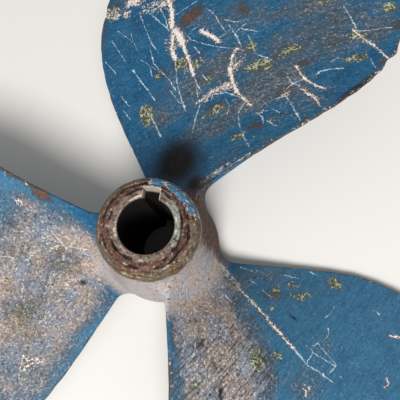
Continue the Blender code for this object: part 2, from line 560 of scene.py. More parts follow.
    def rings(self, blade: Blade) -> list[list[Vector]]:
        """Wrap all sections of a blade: the fillet's first, then those of the span.

        Args:
            blade: Which blade.

        Returns:
            The rings, from its foot inside the hub to its tip.
        """
        level = self.hub.barrel_radius(self.face_height)
        fillet = self.root_fillet
        made = [self.ring(blade, level - self.root_burial, fillet, -self.root_burial, 1.0)]
        for step in range(self.fillet_steps):
            bend = pi / 2 * step / self.fillet_steps
            lift = fillet * (1.0 - cos(bend))
            made.append(self.ring(blade, level + lift, fillet * (1.0 - sin(bend)), lift, 1.0))
        start = level + fillet
        for step in range(self.span_steps + 1):
            bend = self.last_span_angle * step / self.span_steps
            radius = start + (self.tip_radius - self.tip_wear - start) * sin(bend)
            follow = 1.0 - smooth_step((radius - start) / self.root_blend)
            made.append(self.ring(blade, radius, 0.0, fillet, follow))
        return made

    def build(self, blade: Blade) -> bpy.types.Object:
        """Extrude a section's outline from the foot to the tip, and close both ends.

        Args:
            blade: Which blade to make.

        Returns:
            The blade, a closed solid.
        """
        rings = self.rings(blade)
        shape = bmesh.new()
        order = shape.verts.layers.int.new("order")
        loop = bmesh.ops.create_circle(shape, segments=len(rings[0]), radius=1.0)["verts"]
        for index, vertex in enumerate(loop):
            vertex[order] = index
            vertex.co = rings[0][index]
        edges = list(shape.edges)
        self.close(shape, loop, order)
        for ring in rings[1:]:
            grown = bmesh.ops.extrude_edge_only(shape, edges=edges)["geom"]
            edges = [item for item in grown if isinstance(item, bmesh.types.BMEdge)]
            loop = [item for item in grown if isinstance(item, bmesh.types.BMVert)]
            for vertex in loop:
                vertex.co = ring[vertex[order]]
        self.close(shape, loop, order)
        bmesh.ops.recalc_face_normals(shape, faces=shape.faces)
        return to_object(shape, f"{blade.name.lower()}_blade")

    def close(
        self, shape: bmesh.types.BMesh, loop: list[bmesh.types.BMVert], order: bmesh.types.BMLayerItem,
    ) -> None:
        """Close a section with a strip from its pressure side to its back.

        Args:
            shape: The mesh that is being made.
            loop: The section's vertices.
            order: The layer with each vertex's place in the outline.
        """
        back = self.face_points + self.rim_points
        sides = (range(self.face_points), range(back, back + self.back_points))
        inside = set(loop)
        ring_edges = [e for e in shape.edges if e.verts[0] in inside and e.verts[1] in inside]
        chains = [
            edge for edge in ring_edges
            for side in sides
            if edge.verts[0][order] in side and edge.verts[1][order] in side
        ]
        bmesh.ops.bridge_loops(shape, edges=chains)
        bmesh.ops.holes_fill(shape, edges=[e for e in ring_edges if e not in chains], sides=0)


@dataclass
class CastPropeller:
    """The casting: hub and blades in one body, with the wear of its surface."""

    hub: HubForm
    blades: BladeForm
    pit_depth: float = 0.00040
    pit_size: float = 0.0022
    groove_radii: tuple[float, ...] = (0.0132, 0.0157)
    groove_depth: float = 0.0007
    groove_width: float = 0.0006
    groove_wander: float = 0.0012
    dent_depth: float = 0.00018
    dent_size: float = 0.028
    fine_pits: float = 2.3  # how much smaller the second layer of pits is
    fine_dents: float = 4.0  # and of dents
    wander_length: float = 2.5  # of the grooves, in pit sizes
    break_length: float = 1.6  # between their breaks
    joint_weld: float = 0.000005  # points closer than this are one, where forms meet
    sharp_angle: float = radians(50.0)
    bore_play: float = MM / 4
    sound_foot: float = 3 * MM  # height of the forward end that stays smooth
    worn_end: float = 9 * MM  # depth of the corroded aft end
    worn_blend: float = 5 * MM  # and how it fades in
    blade_blend: float = 20 * MM  # from the barrel's grain to the blades' waves

    def build(self) -> bpy.types.Object:
        """Join hub and blades, cut the keyway and roughen the surface.

        Returns:
            The casting's object.
        """
        body = self.hub.build()
        blades = [self.blades.build(blade) for blade in Blade]
        cutter = self.hub.keyway()
        body = self.combine(body, [*blades, cutter], ["UNION"] * len(blades) + ["DIFFERENCE"])
        self.roughen(body)
        body.data.shade_smooth()
        body.data.set_sharp_from_angle(angle=self.sharp_angle)
        return body

    def combine(
        self, body: bpy.types.Object, tools: list[bpy.types.Object], operations: list[str],
    ) -> bpy.types.Object:
        """Apply Boolean operations to a body one after another.

        Args:
            body: The body to start from. It is used up, as the tools are.
            tools: What is joined to it or cut from it.
            operations: What each tool does.

        Returns:
            The object that results.
        """
        for tool, operation in zip(tools, operations):
            joint = body.modifiers.new(tool.name, "BOOLEAN")
            joint.operation = operation
            joint.object = tool
            joint.solver = "EXACT"
        bpy.context.view_layer.update()
        mesh = bpy.data.meshes.new_from_object(body.evaluated_get(bpy.context.evaluated_depsgraph_get()))
        for used in [body, *tools]:
            bpy.data.objects.remove(used, do_unlink=True)
        shape = bmesh.new()
        shape.from_mesh(mesh)
        bmesh.ops.remove_doubles(shape, verts=shape.verts, dist=self.joint_weld)
        bmesh.ops.dissolve_degenerate(shape, edges=shape.edges, dist=WELD)
        bmesh.ops.recalc_face_normals(shape, faces=shape.faces)
        bmesh.ops.triangulate(shape, faces=[f for f in shape.faces if len(f.verts) > 4])
        return to_object(shape, "cast_propeller")

    def in_bore(self, point: Vector) -> bool:
        """Whether a point lies on the bore or the keyway.

        Args:
            point: A point of the casting.

        Returns:
            True on their walls and their rims.
        """
        key = abs(point.x) < self.hub.keyway_width / 2 + self.bore_play and point.y > 0.0
        limit = self.hub.bore_radius(point.z) + (self.hub.keyway_depth if key else 0.0)
        return hypot(point.x, point.y) < limit + self.bore_play

    def roughen(self, body: bpy.types.Object) -> None:
        """Pit the hub's aft end and give the blades the gentle waves of a casting.

        Args:
            body: The casting. Its vertices are moved inwards only.
        """
        mesh = body.data
        normals = [vertex.normal.copy() for vertex in mesh.vertices]
        hollows = [0.0] * len(mesh.vertices)
        for vertex, normal in zip(mesh.vertices, normals):
            point = vertex.co.copy()
            if self.in_bore(point) or point.z < self.hub.forward_face + self.sound_foot:
                continue
            end = smooth_step((point.z - self.hub.aft_face + self.worn_end) / self.worn_blend)
            radius = hypot(point.x, point.y)
            blade = smooth_step((radius - self.hub.forward_radius) / self.blade_blend)
            waves = 0.5 + 0.5 * rough.noise(point / self.dent_size)
            waves += 0.25 * rough.noise(point / self.dent_size * self.fine_dents)
            hollow = self.corrosion(point, radius) * end
            hollows[vertex.index] = hollow / self.groove_depth
            vertex.co = point - normal * (hollow * (1.0 - blade) + self.dent_depth * waves * blade)
        store(mesh, Wear.HOLLOW, hollows)

    def corrosion(self, point: Vector, radius: float) -> float:
        """Depth that corrosion has eaten at a point of the hub's aft end.

        Args:
            point: The point.
            radius: Its distance from the shaft axis.

        Returns:
            The depth: pits, and ragged grooves that run round the bore.
        """
        pits = 0.5 + 0.5 * rough.noise(point / self.pit_size)
        pits += 0.6 * abs(rough.noise(point / self.pit_size * self.fine_pits))
        place = radius + self.groove_wander * rough.noise(point / self.pit_size / self.wander_length)
        depth = self.pit_depth * pits
        for index, groove in enumerate(self.groove_radii):
            share = max(1.0 - abs(place - groove) / self.groove_width, 0.0)
            apart = Vector((9.0 * index, 0.0, 0.0))
            broken = 0.6 + rough.noise(point / self.pit_size / self.break_length + apart)
            depth += self.groove_depth * share * min(max(broken, 0.0), 1.0)
        return depth


@dataclass(frozen=True)
class Patch:
    """A soft oval of wear in plan, by its centre, half sizes and the turn of its long side."""

    CORE = 0.4  # of the half sizes: full strength inside it, and none from 1.0 further out
    SLOPE = 12 * MM  # room for the height of the blade under it

    centre: Vector
    across: float
    along: float
    turn: float
    strength: float

    def reach(self) -> float:
        """Radius of a ball that holds all that the patch wears, and the blade's slope."""
        return (self.CORE + 1.0) * max(self.across, self.along) + self.SLOPE

    def at(self, point: Vector) -> float:
        """Strength of the wear at a point.

        Args:
            point: The point, of which the height doesn't count.

        Returns:
            The strength, 0 outside the patch.
        """
        x, y = point.x - self.centre.x, point.y - self.centre.y
        first = (x * cos(self.turn) + y * sin(self.turn)) / self.across
        second = (y * cos(self.turn) - x * sin(self.turn)) / self.along
        return self.strength * (1.0 - smooth_step(hypot(first, second) - self.CORE))


@dataclass(frozen=True)
class SeenPatch:
    """A patch as it shows in the picture: its middle, its half width and height, and its tilt."""

    pixel: Pixel
    width: float  # half, in millimetres
    height: float
    tilt: float  # degrees anticlockwise
    strength: float


@dataclass(frozen=True)
class Scratch:
    """A line where metal shows, by its points in the picture and its width in millimetres."""

    points: tuple[Pixel, ...]
    width: float


@dataclass(frozen=True)
class Stretch:
    """A straight stretch of a scratch in plan, in millimetres."""

    start: Vector
    end: Vector
    half_width: float


def patches(*rows: tuple[float, ...]) -> tuple[SeenPatch, ...]:
    """Patches from rows of pixel x and y, half width and height, tilt and strength."""
    return tuple(SeenPatch((x, y), *rest) for x, y, *rest in rows)


def scratches(*rows: tuple) -> tuple[Scratch, ...]:
    """Scratches from rows of a width and the pixels along the line."""
    return tuple(Scratch(tuple(points), width) for width, *points in rows)


UPPER_SCRATCHES = scratches(
    (0.45, (118, 31), (132.5, 42)),
    (0.45, (112, 41), (125, 61)),
    (0.5, (105.5, 62), (116, 73.5)),
    (0.7, (132.8, 70), (141.4, 82), (148.6, 91), (155, 100.5)),
    (0.5, (139, 12), (148.6, 36.5), (152.5, 45), (158.6, 52.6)),
    (0.55, (150.5, 50), (153.4, 63), (161, 71.3), (168.7, 79.4), (176.3, 91)),
    (0.6, (149.5, 66), (152, 76.5)),
    (0.75, (176.6, 80), (179.2, 92), (186, 112)),
    (0.5, (170, 90.5), (181, 104.3)),
    (0.6, (147, 11), (165.8, 27), (169, 31)),
    (2.2, (169, 0), (172, 13), (172.3, 27)),
    (3.6, (175, 31), (183, 42)),
    (1.9, (173, 36), (171.5, 49), (175, 59)),
    (0.6, (175, 59), (176.3, 72), (176.8, 82)),
    (1.5, (182, 41), (185, 50), (189, 61), (193.5, 75.5)),
    (0.7, (193.5, 75.5), (196.4, 83), (202, 93)),
    (0.45, (196.4, 86), (198, 97.5)),
    (0.5, (194.5, 47), (200, 53.6)),
    (0.5, (200, 57.5), (205, 63)),
    (0.55, (185, 33.5), (191.6, 40), (203, 43.5), (218.4, 47), (236, 48.5)),
    (1.9, (201.7, 31), (210, 35), (219.5, 42.5)),
    (0.5, (190.7, 31.6), (196.4, 27)),
    (0.6, (214.6, 15), (220.3, 24), (227, 34.4)),
    (0.6, (229, 25), (236.6, 36.4), (241.5, 47)),
    (0.6, (236.5, 31.5), (240.8, 28), (246, 23)),
    (0.5, (241, 28.5), (258, 31.5)),
    (1.2, (243, 50), (235.4, 48.8), (232, 57.5), (230, 69)),
    (1.6, (230, 69), (232, 81), (236.5, 91)),
    (0.9, (241, 62), (234.3, 66), (232, 74)),
    (1.0, (236.5, 91), (245, 100), (250.6, 105)),
    (1.0, (230, 84), (214.6, 90), (208, 95.7), (196.4, 103.3)),
    (0.5, (210, 94.7), (227, 92.3), (242.3, 98.5)),
    (0.65, (200, 105), (196.4, 115), (192.6, 132)),
    (0.8, (245, 102), (239, 111.7), (238.6, 122.5), (243, 135.5), (249, 146.5)),
    (0.7, (151.4, 116.7), (161, 136.8)),
    (0.5, (120, 94.7), (129.4, 106.7)),
    (0.5, (122.7, 110), (130.4, 119.6)),
    (0.5, (203, 75.6), (208, 81.3)),
    (0.6, (196.4, 1), (186.8, 7.7), (177, 14)),
    (0.45, (248.4, 35.8), (256, 54.2), (272.3, 59.6)),
    (0.9, (296, 66), (299.4, 72.6), (306, 80), (315.7, 85.7), (324.3, 88.4)),
    (0.55, (315.7, 74.8), (320, 71.6), (330.8, 68.8), (343.8, 68.3)),
    (0.6, (287.5, 77), (293, 83.5), (299.4, 85.7)),
    (0.55, (303.7, 79), (293, 83.5), (284.2, 91), (285.3, 95.4), (267, 102)),
    (0.6, (285.3, 95.4), (290.7, 103), (300.5, 120.3)),
    (1.2, (302.6, 89), (309, 94.3), (314.6, 97.6), (320, 104.6)),
    (0.6, (258.2, 113.8), (262.5, 117), (263, 123.6)),
    (0.5, (265.8, 120.3), (276.6, 125.8)),
    (0.7, (343.8, 6.5), (350.3, 16.3), (358, 31.4)),
    (0.9, (352.5, 29.3), (360, 35.8), (366.6, 41.2), (375.3, 46.6), (387.2, 57.5)),
    (0.45, (352.5, 30.4), (364.4, 30.9), (392.6, 27)),
    (0.5, (370, 58.5), (375.3, 67.8)),
    (0.85, (208, 181), (222, 172), (236, 162), (250, 153)),
    (0.6, (212, 174), (224, 166)),
    (0.5, (232, 28), (226, 33), (219, 38)),
    (0.45, (225, 20), (236, 22), (248, 19)),
    (0.5, (206, 8), (214, 14)),
    (0.5, (160, 8), (166, 20), (168, 30)),
    (0.35, (141, 60), (160, 72)),
    (0.3, (131, 34), (137, 50)),
    (0.4, (225, 98), (229, 106), (227, 114)),
    (0.35, (262, 100), (270, 108), (280, 112)),
    (0.4, (330, 62), (338, 58), (350, 60)),
)

RIGHT_SCRATCHES = scratches(
    (1.1, (215, 262), (224, 273), (236.5, 285.2)),
    (0.6, (220, 264), (236, 281)),
    (0.8, (214, 257), (227, 271), (240, 286)),
    (0.8, (236.5, 285.2), (245.7, 296)),
    (1.0, (245.7, 296), (259.5, 309.7)),
    (1.3, (259.5, 309.7), (276.3, 329.6)),
    (0.95, (276.3, 329.6), (293.2, 348)),
    (0.8, (293.2, 348), (307, 364.8)),
    (0.4, (240, 267), (252, 271)),
    (0.35, (256, 270), (268, 276)),
    (0.5, (250, 280), (258, 285)),
    (0.35, (284, 275), (300, 279)),
    (0.4, (310, 272), (318, 276)),
    (0.35, (262, 290), (272, 298)),
    (0.7, (307, 364.8), (319.2, 372.5), (332.2, 381.6)),
    (0.7, (221, 291), (232, 302)),
    (0.5, (310, 348), (313, 352.6), (307, 363.3)),
    (0.5, (313, 352.6), (336, 366.3), (330, 372.5)),
    (0.5, (311.5, 346.4), (317.7, 343.4), (336, 364.8)),
    (0.45, (334.5, 306.6), (330, 314.3), (325.3, 317.3)),
    (0.45, (328.4, 328), (328.4, 335.7), (322.3, 341.8)),
    (1.0, (387, 380), (388.5, 384), (385, 388)),
    (0.4, (222, 325), (231, 340)),
)

LEFT_SCRATCHES = scratches(
    (0.4, (52, 232), (60, 241), (66, 249)),
    (0.35, (66, 249), (79, 235)),
    (0.7, (0, 256), (14, 258)),
    (0.5, (24, 262), (38, 250)),
)

WORN = patches(
    (190, 285, 20, 12, -10, 1.0),
    (202, 315, 11.5, 17, 20, 1.0),
    (210, 350, 13, 17, 0, 0.95),
    (222, 388, 15, 16, 0, 1.0),
    (238, 372, 12, 18, 20, 0.48),
    (240, 330, 10, 18, 25, 0.34),
    (308, 386, 9, 8, 0, 0.24),
    (208, 238, 6, 20, 0, 1.0),
    (43, 283, 26, 31, 0, 0.85),
    (72, 256, 18, 13, -25, 0.9),
    (20, 330, 26, 24, 0, 0.46),
    (34, 366, 22, 14, 0, 0.2),
    (6, 195, 10, 12, 0, 0.16),
    (250, 20, 20, 13, 0, 0.2),
    (305, 105, 18, 8, 30, 0.2),
    (245, 155, 16, 8, 20, 0.2),
    (200, 20, 14, 10, 0, 0.2),
    (268, 274, 14, 4, 0, 0.3),
    (84, 300, 12, 16, 0, 0.16),
    (2, 390, 8, 8, 0, 0.3),
    (-40, 320, 24, 26, 0, 0.6),
    (-95, 350, 22, 16, 20, 0.4),
    (228, 440, 12, 20, 0, 0.85),
    (250, 490, 14, 12, 20, 0.4),
    (30, 203, 7, 3.6, -25, 0.5),
    (184, 366, 5, 14, 0, 0.5),
    (266, 368, 6, 11, 10, 0.3),
    (242, 284, 5, 6, -50, 0.34),
    (322, 345, 6, 6, 0, 0.2),
    (270, 88, 17, 11, 20, 0.42),
    (320, 40, 34, 16, 10, 0.22),
    (370, 20, 20, 14, 0, 0.15),
    (315, 6, 18, 8, 0, 0.28),
    (228, 65, 10, 14, 0, 0.24),
    (160, 118, 12, 7, 0, 0.25),
    (190, 80, 14, 18, 0, 0.22),
    (215, 122, 18, 9, 15, 0.28),
)

VERDIGRIS = patches(
    (146, 115, 4.5, 7, 10, 1.0),
    (158, 75, 3, 2.5, 0, 0.9),
    (181, 64, 3.6, 4.5, 0, 0.9),
    (193, 63, 4, 3, 0, 0.75),
    (197, 66, 3, 3, 0, 0.7),
    (213, 112, 7, 3, 22, 0.95),
    (251, 48, 3, 5, 0, 1.0),
    (259, 66, 7, 4.5, 10, 1.0),
    (290.5, 51, 5.5, 3.6, 10, 0.85),
    (276, 37, 3, 1.5, 0, 0.7),
    (357, 36, 5, 2.4, 5, 0.95),
    (356, 58, 6, 2.6, 10, 0.95),
    (389.5, 7.5, 4.2, 3.6, 0, 1.0),
    (324, 2, 3, 1.6, 0, 0.8),
    (113, 14, 6, 5, -20, 0.95),
    (272, 118, 4, 2, 0, 0.6),
    (238, 136, 4, 3, 0, 0.75),
    (207, 82, 5, 3, 10, 0.7),
    (275.6, 293.6, 3.4, 3.2, 0, 1.0),
    (334.5, 283, 4, 3.6, 0, 0.95),
    (258, 358.7, 4.4, 4.4, 0, 0.95),
    (277.9, 355.6, 2.2, 2.4, 0, 0.8),
    (300, 296, 7, 3, 10, 0.6),
    (290, 285, 6, 2.4, 0, 0.5),
    (273.3, 309, 1.8, 1.6, 0, 0.7),
    (232, 303.5, 2, 1.6, 0, 0.8),
    (196, 320, 3, 2, 0, 0.6),
    (193.7, 384.7, 2.1, 2.1, 0, 1.0),
    (38, 245, 6, 4, 0, 0.35),
    (16, 248, 6, 3, 0, 0.4),
    (68, 268, 6, 3, 0, 0.35),
    (22, 315, 12, 8, 0, 0.35),
    (29, 364, 6, 5, 0, 0.45),
)

RUST = patches(
    (191, 16, 4.6, 10, -52, 1.0),
    (188, 19, 2.4, 4, -52, 0.8),
    (160, 73, 5, 3, 0, 0.7),
    (223, 376, 9, 10, 0, 0.34),
    (320, 40, 34, 20, 10, 0.24),
    (268, 368, 4, 8, 10, 0.42),
    (244, 9, 3, 6, 20, 0.7),
    (306, 63, 5, 2, 0, 0.8),
    (214, 108, 7, 3, 20, 0.85),
    (256, 125, 6, 2.6, 10, 0.8),
    (284, 92, 5, 4, 30, 0.7),
    (305, 120, 3, 1.5, 30, 0.9),
    (41, 194, 6, 2.4, -28, 1.0),
    (20, 315, 9, 8, 0, 0.5),
    (12, 250, 7, 4, 0, 0.5),
    (398, 25, 3, 3, 0, 0.9),
    (222, 262, 3, 6, 20, 0.7),
    (172, 70, 8, 7, 0, 0.5),
    (192, 62, 8, 8, 0, 0.55),
    (165, 98, 9, 7, 0, 0.42),
    (206, 76, 7, 6, 0, 0.5),
    (186, 112, 8, 5, 0, 0.4),
    (148, 112, 6, 8, 0, 0.42),
    (262, 66, 8, 5, 10, 0.55),
    (244, 48, 6, 8, 0, 0.45),
    (290, 52, 7, 4, 0, 0.42),
    (240, 8, 7, 7, 0, 0.4),
    (104, 36, 2, 14, -6, 0.6),
    (116, 6, 8, 6, 0, 0.6),
    (350, 93, 8, 1.8, 33, 0.6),
    (368, 79, 8, 1.8, 38, 0.6),
    (385, 60, 8, 2.0, 42, 0.6),
    (45, 265, 14, 9, 0, 0.42),
    (25, 300, 14, 10, 0, 0.45),
    (72, 262, 9, 8, 0, 0.42),
    (25, 342, 12, 8, 0, 0.36),
    (268, 292, 12, 5, 10, 0.42),
    (250, 345, 8, 10, 20, 0.36),
)

BARE = patches(
    (135, 2, 7, 3.2, 0, 0.85),
    (127, 14, 2.6, 4.5, 10, 0.6),
    (154, 7, 11, 6, 0, 0.47),
    (114, 14, 8, 6, -20, 0.42),
    (168, 2, 5, 2, 0, 0.75),
    (177, 35, 2.6, 2, 0, 0.9),
    (172, 45, 5, 9, 20, 0.4),
    (190, 66, 5, 8, 20, 0.42),
    (230, 85, 4, 3, 0, 0.75),
    (238, 60, 5, 9, 0, 0.36),
    (212, 92, 6, 2, 25, 0.6),
    (285, 95, 3.4, 1.6, 30, 0.6),
    (262, 112, 3, 2, 0, 0.5),
    (366, 42, 3, 1.4, -40, 0.8),
    (207, 179, 8, 2.0, 36, 0.55),
    (225, 166, 8, 1.4, 33, 0.45),
    (352, 92, 8, 1.3, 34, 0.42),
    (374, 75, 8, 1.3, 38, 0.42),
    (213, 95, 10, 3.4, 26, 0.46),
    (29, 364, 7, 5.5, 0, 0.52),
    (186, 294, 2.2, 1.2, 0, 0.7),
    (223, 270, 8, 2.4, -48, 0.5),
    (306, 390, 2.6, 2.6, 0, 0.55),
    (377, 313, 1.6, 1.2, 0, 0.7),
    (19, 202, 2, 1.4, 0, 0.7),
    (83, 250, 3, 3, 0, 0.3),
    (56, 246, 10, 5, 0, 0.28),
    (40, 300, 12, 6, 0, 0.16),
)

# Dark spots and dirt along the edges; the first three rows are painted shadow, the hub's shadow on the upper
# blade's root and the crevice beside it, with some grime
GRIME = patches(
    (177, 163, 13, 15, 10, 1.0),
    (194, 184, 4, 6, 0, 0.9),
    (204, 186, 5, 5, 20, 0.5),
    (293.2, 317.3, 0.8, 0.8, 0, 1.0),
    (355.2, 346.7, 0.9, 1.0, 0, 1.0),
    (215, 368, 1.2, 1.2, 0, 1.0),
    (220.5, 394, 1.2, 2.6, 5, 1.0),
    (200.6, 343.4, 1.6, 1.2, 0, 0.7),
    (82, 282.5, 1.7, 1.4, 0, 1.0),
    (10, 223, 1.6, 1.6, 0, 0.7),
    (350, 93, 9, 1.6, 35, 0.6),
    (365, 81, 7, 1.4, 38, 0.5),
)

NICKS = (
    Nick(Blade.RIGHT, Edge.LEADING, 0.170, 0.075, 0.0085),
    Nick(Blade.UPPER, Edge.TRAILING, 0.126, 0.006, 0.0016),
    Nick(Blade.UPPER, Edge.TRAILING, 0.139, 0.009, 0.0022),
    Nick(Blade.UPPER, Edge.LEADING, 0.148, 0.006, 0.0012),
    Nick(Blade.LEFT, Edge.TRAILING, 0.110, 0.008, 0.0010),
)


@dataclass
class WearMap:
    """Where the surface has worn, as smooth shares on the casting's points."""

    view: Viewpoint
    casting: CastPropeller
    tree: BVHTree
    seed: int = 5
    hidden_patches: int = 26  # of each kind and side, out of the picture
    hub_share: float = 0.05  # of the disc, where none of them fall
    hidden_sizes: tuple[float, float] = (0.35, 1.0)  # shares of the greatest half size
    hidden_strengths: tuple[float, float] = (0.6, 1.0)
    hidden_slimness: tuple[float, float] = (0.4, 0.9)
    hidden_scratches: int = 10  # on each blade
    hidden_radii: tuple[float, float] = (0.06, 0.19)
    hidden_lengths: tuple[float, float] = (0.006, 0.028)
    hidden_half_widths: tuple[float, float] = (0.2, 0.5)
    hidden_spread: float = 0.85  # share of the blade's half angle that they keep to
    aft_normal: float = -0.1  # a point's normal is over this in z on the aft side
    flake_turn: float = radians(58.0)  # where on the shoulder blue paint is left
    flake_spread: float = radians(26.0)
    flake_fade: float = radians(24.0)
    flake_rise: float = 3.0 * MM  # length over which the flakes set in
    flake_depth: float = 8.5 * MM  # how far down from the aft face they go

    def lay(self, pixel: Pixel) -> Vector | None:
        """Where the line of sight through a pixel meets the casting."""
        return self.tree.ray_cast(*self.view.ray(pixel))[0]

    def seen(self, marks: tuple[SeenPatch, ...]) -> list[Patch]:
        """Lay patches of the picture on the casting.

        Args:
            marks: The patches, by their pixels.

        Returns:
            The patches in the casting's own coordinates.
        """
        laid = []
        for mark in marks:
            centre = self.lay(mark.pixel)
            if centre is None:
                log.warning("no metal at pixel %s", mark.pixel)
                continue
            turn = radians(mark.tilt) - self.view.roll
            laid.append(Patch(centre, mark.width * MM, mark.height * MM, turn, mark.strength))
        return laid

    def scattered(self, draw: random.Random, aft: bool, size: float, strength: float) -> list[Patch]:
        """Patches at random places that the picture doesn't show.

        Args:
            draw: The source of random numbers.
            aft: Whether they are for the pressure sides, which the picture shows in part.
            size: Greatest half size in metres.
            strength: Greatest strength.

        Returns:
            The patches.
        """
        made = []
        while len(made) < self.hidden_patches:
            angle = draw.uniform(0.0, tau)
            radius = self.casting.blades.tip_radius * sqrt(draw.uniform(self.hub_share, 1.0))
            centre = polar(radius, angle, self.level(radius, angle))
            half = size * draw.uniform(*self.hidden_sizes)
            turn, force = draw.uniform(0.0, pi), strength * draw.uniform(*self.hidden_strengths)
            if not (aft and self.view.shows(centre)):
                slim = half * draw.uniform(*self.hidden_slimness)
                made.append(Patch(centre, half, slim, turn, force))
        return made

    def level(self, radius: float, angle: float) -> float:
        """Height of the nearest blade's pressure face.

        Args:
            radius: Distance from the shaft axis.
            angle: Direction from +X.

        Returns:
            The height there.
        """
        form = self.casting.blades
        spacing = tau / len(Blade)
        turn = (angle - form.first_angle + spacing / 2) % spacing - spacing / 2
        return form.height(radius, turn)

    def edge_distance(self, point: Vector) -> float:
        """Distance of a point from the outline of its blade, in plan.

        Args:
            point: A point of the casting.

        Returns:
            Metres, negative on the rounded edge itself.
        """
        form = self.casting.blades
        radius, angle = hypot(point.x, point.y), atan2(point.y, point.x)
        nearest = form.tip_radius
        for blade in Blade:
            turn = wrapped(angle - form.angle(blade))
            lead = turn - form.middle_turn(radius)
            edge = Edge.LEADING if lead > 0.0 else Edge.TRAILING
            room = radius * (form.half_angle(radius) - abs(lead)) - form.edge_loss(blade, edge, radius)
            if abs(turn) < pi / len(Blade):
                nearest = min(room, form.tip_radius - radius)
        root = self.casting.hub.forward_radius + form.root_fillet
        return nearest + ROOT_MARGIN * (1.0 - smooth_step((radius - root) / ROOT_MARGIN))

    def paint(self, body: bpy.types.Object) -> None:
        """Write every kind of wear to the casting's mesh as a point attribute.

        Args:
            body: The casting.
        """
        draw = random.Random(self.seed)
        kinds = {  # the seen marks, then the greatest half size and strength of the hidden ones
            Wear.WORN: (WORN, 0.030, 0.55),
            Wear.VERDIGRIS: (VERDIGRIS, 0.006, 1.0),
            Wear.RUST: (RUST, 0.007, 0.8),
            Wear.BARE: (BARE, 0.004, 0.7),
            Wear.GRIME: (GRIME, 0.002, 0.9),
        }
        mesh = body.data
        places = KDTree(len(mesh.vertices))
        for vertex in mesh.vertices:
            places.insert(vertex.co, vertex.index)
        places.balance()
        for wear, (marks, size, strength) in kinds.items():
            aft = self.seen(marks) + self.scattered(draw, True, size, strength)
            forward = self.scattered(draw, False, size, strength)
            clear = [1.0] * len(mesh.vertices)
            for laid, side in ((aft, 1.0), (forward, -1.0)):
                for patch in laid:
                    for place, index, _ in places.find_range(patch.centre, patch.reach()):
                        if (mesh.vertices[index].normal.z - self.aft_normal) * side > 0.0:
                            clear[index] *= 1.0 - min(patch.at(place), 1.0)
            store(mesh, wear, [1.0 - share for share in clear])
        store(mesh, Wear.RIM, [self.edge_distance(v.co) / MM for v in mesh.vertices])
        store(mesh, Wear.FLAKES, [self.flakes(v.co) for v in mesh.vertices])

    def flakes(self, point: Vector) -> float:
        """Blue paint that is left on the hub's shoulder, upper right in the picture.

        Args:
            point: A point of the casting.

        Returns:
            Its share, from 0 to 1.
        """
        hub = self.casting.hub
        radius = hypot(point.x, point.y)
        angle = wrapped(atan2(point.y, point.x) - self.flake_turn)
        across = 1.0 - smooth_step((abs(angle) - self.flake_spread) / self.flake_fade)
        outer = smooth_step((radius - hub.seat_radius + hub.bore_lip) / self.flake_rise)
        end = smooth_step((point.z - hub.aft_face + self.flake_depth) / self.flake_rise)
        return across * outer * end

    def lines(self, marks: tuple[Scratch, ...]) -> list[Stretch]:
        """Lay scratches of the picture on the casting.

        Args:
            marks: The scratches, by their pixels.

        Returns:
            Their straight stretches.
        """
        laid = []
        for scratch in marks:
            places = [self.lay(pixel) for pixel in scratch.points]
            for start, end in zip(places, places[1:]):
                if start is None or end is None:
                    log.warning("no metal under scratch %s", scratch.points)
                    continue
                laid.append(Stretch(start.xy / MM, end.xy / MM, scratch.width / 2))
        return laid

    def hidden_lines(self, blade: Blade) -> list[Stretch]:
        """Random scratches on the outer part of a blade, out of the picture.

        Args:
            blade: The blade.

        Returns:
            The scratches, each of one stretch.
        """
        draw = random.Random(self.seed + 10 * (blade.value + 1))
        form = self.casting.blades
        made = []
        while len(made) < self.hidden_scratches:
            radius = draw.uniform(*self.hidden_radii)
            aside = draw.uniform(-self.hidden_spread, self.hidden_spread)
            angle = form.angle(blade) + aside * form.half_angle(radius)
            start = polar(radius, angle)
            heading, length = draw.uniform(0.0, tau), draw.uniform(*self.hidden_lengths)
            end = start + polar(length, heading)
            half_width = draw.uniform(*self.hidden_half_widths)
            if not (self.view.shows(start) or self.view.shows(end)):
                made.append(Stretch(start.xy / MM, end.xy / MM, half_width))
        return made


class Shade:
    """One value of a shader, that Python's operators work on, a Math node to an operator."""

    def __init__(self, graph: "Graph", socket: bpy.types.NodeSocket) -> None:
        """Keep the graph and the socket that the value comes from."""
        self.graph = graph
        self.socket = socket

    def maths(self, operation: str, *others: "Shade | float", clamp: bool = False) -> "Shade":
        """Work on this value with a Math node.

        Args:
            operation: The node's operation.
            others: Its further inputs.
            clamp: Whether the result is kept between 0 and 1.

        Returns:
            The result.
        """
        settings = {"operation": operation, "use_clamp": clamp}
        return self.graph.value("ShaderNodeMath", settings, dict(enumerate((self, *others))))

    def __add__(self, other: "Shade | float") -> "Shade":
        """Add."""
        return self.maths("ADD", other)

    def __sub__(self, other: "Shade | float") -> "Shade":
        """Subtract."""
        return self.maths("SUBTRACT", other)

    def __rsub__(self, other: float) -> "Shade":
        """Subtract this value from a number."""
        return self.graph.value("ShaderNodeMath", {"operation": "SUBTRACT"}, {0: other, 1: self})

    def __mul__(self, other: "Shade | float") -> "Shade":
        """Multiply."""
        return self.maths("MULTIPLY", other)

    __radd__ = __add__
    __rmul__ = __mul__

    def ease(self, low: float, high: float) -> "Shade":
        """Ease from 0 to 1 with level ends.

        Args:
            low: Where the result is 0. It may be the greater of the two.
            high: Where the result is 1.

        Returns:
            The eased value.
        """
        settings = {"interpolation_type": "SMOOTHSTEP"}
        sockets = {"Value": self, "From Min": low, "From Max": high}
        return self.graph.value("ShaderNodeMapRange", settings, sockets)


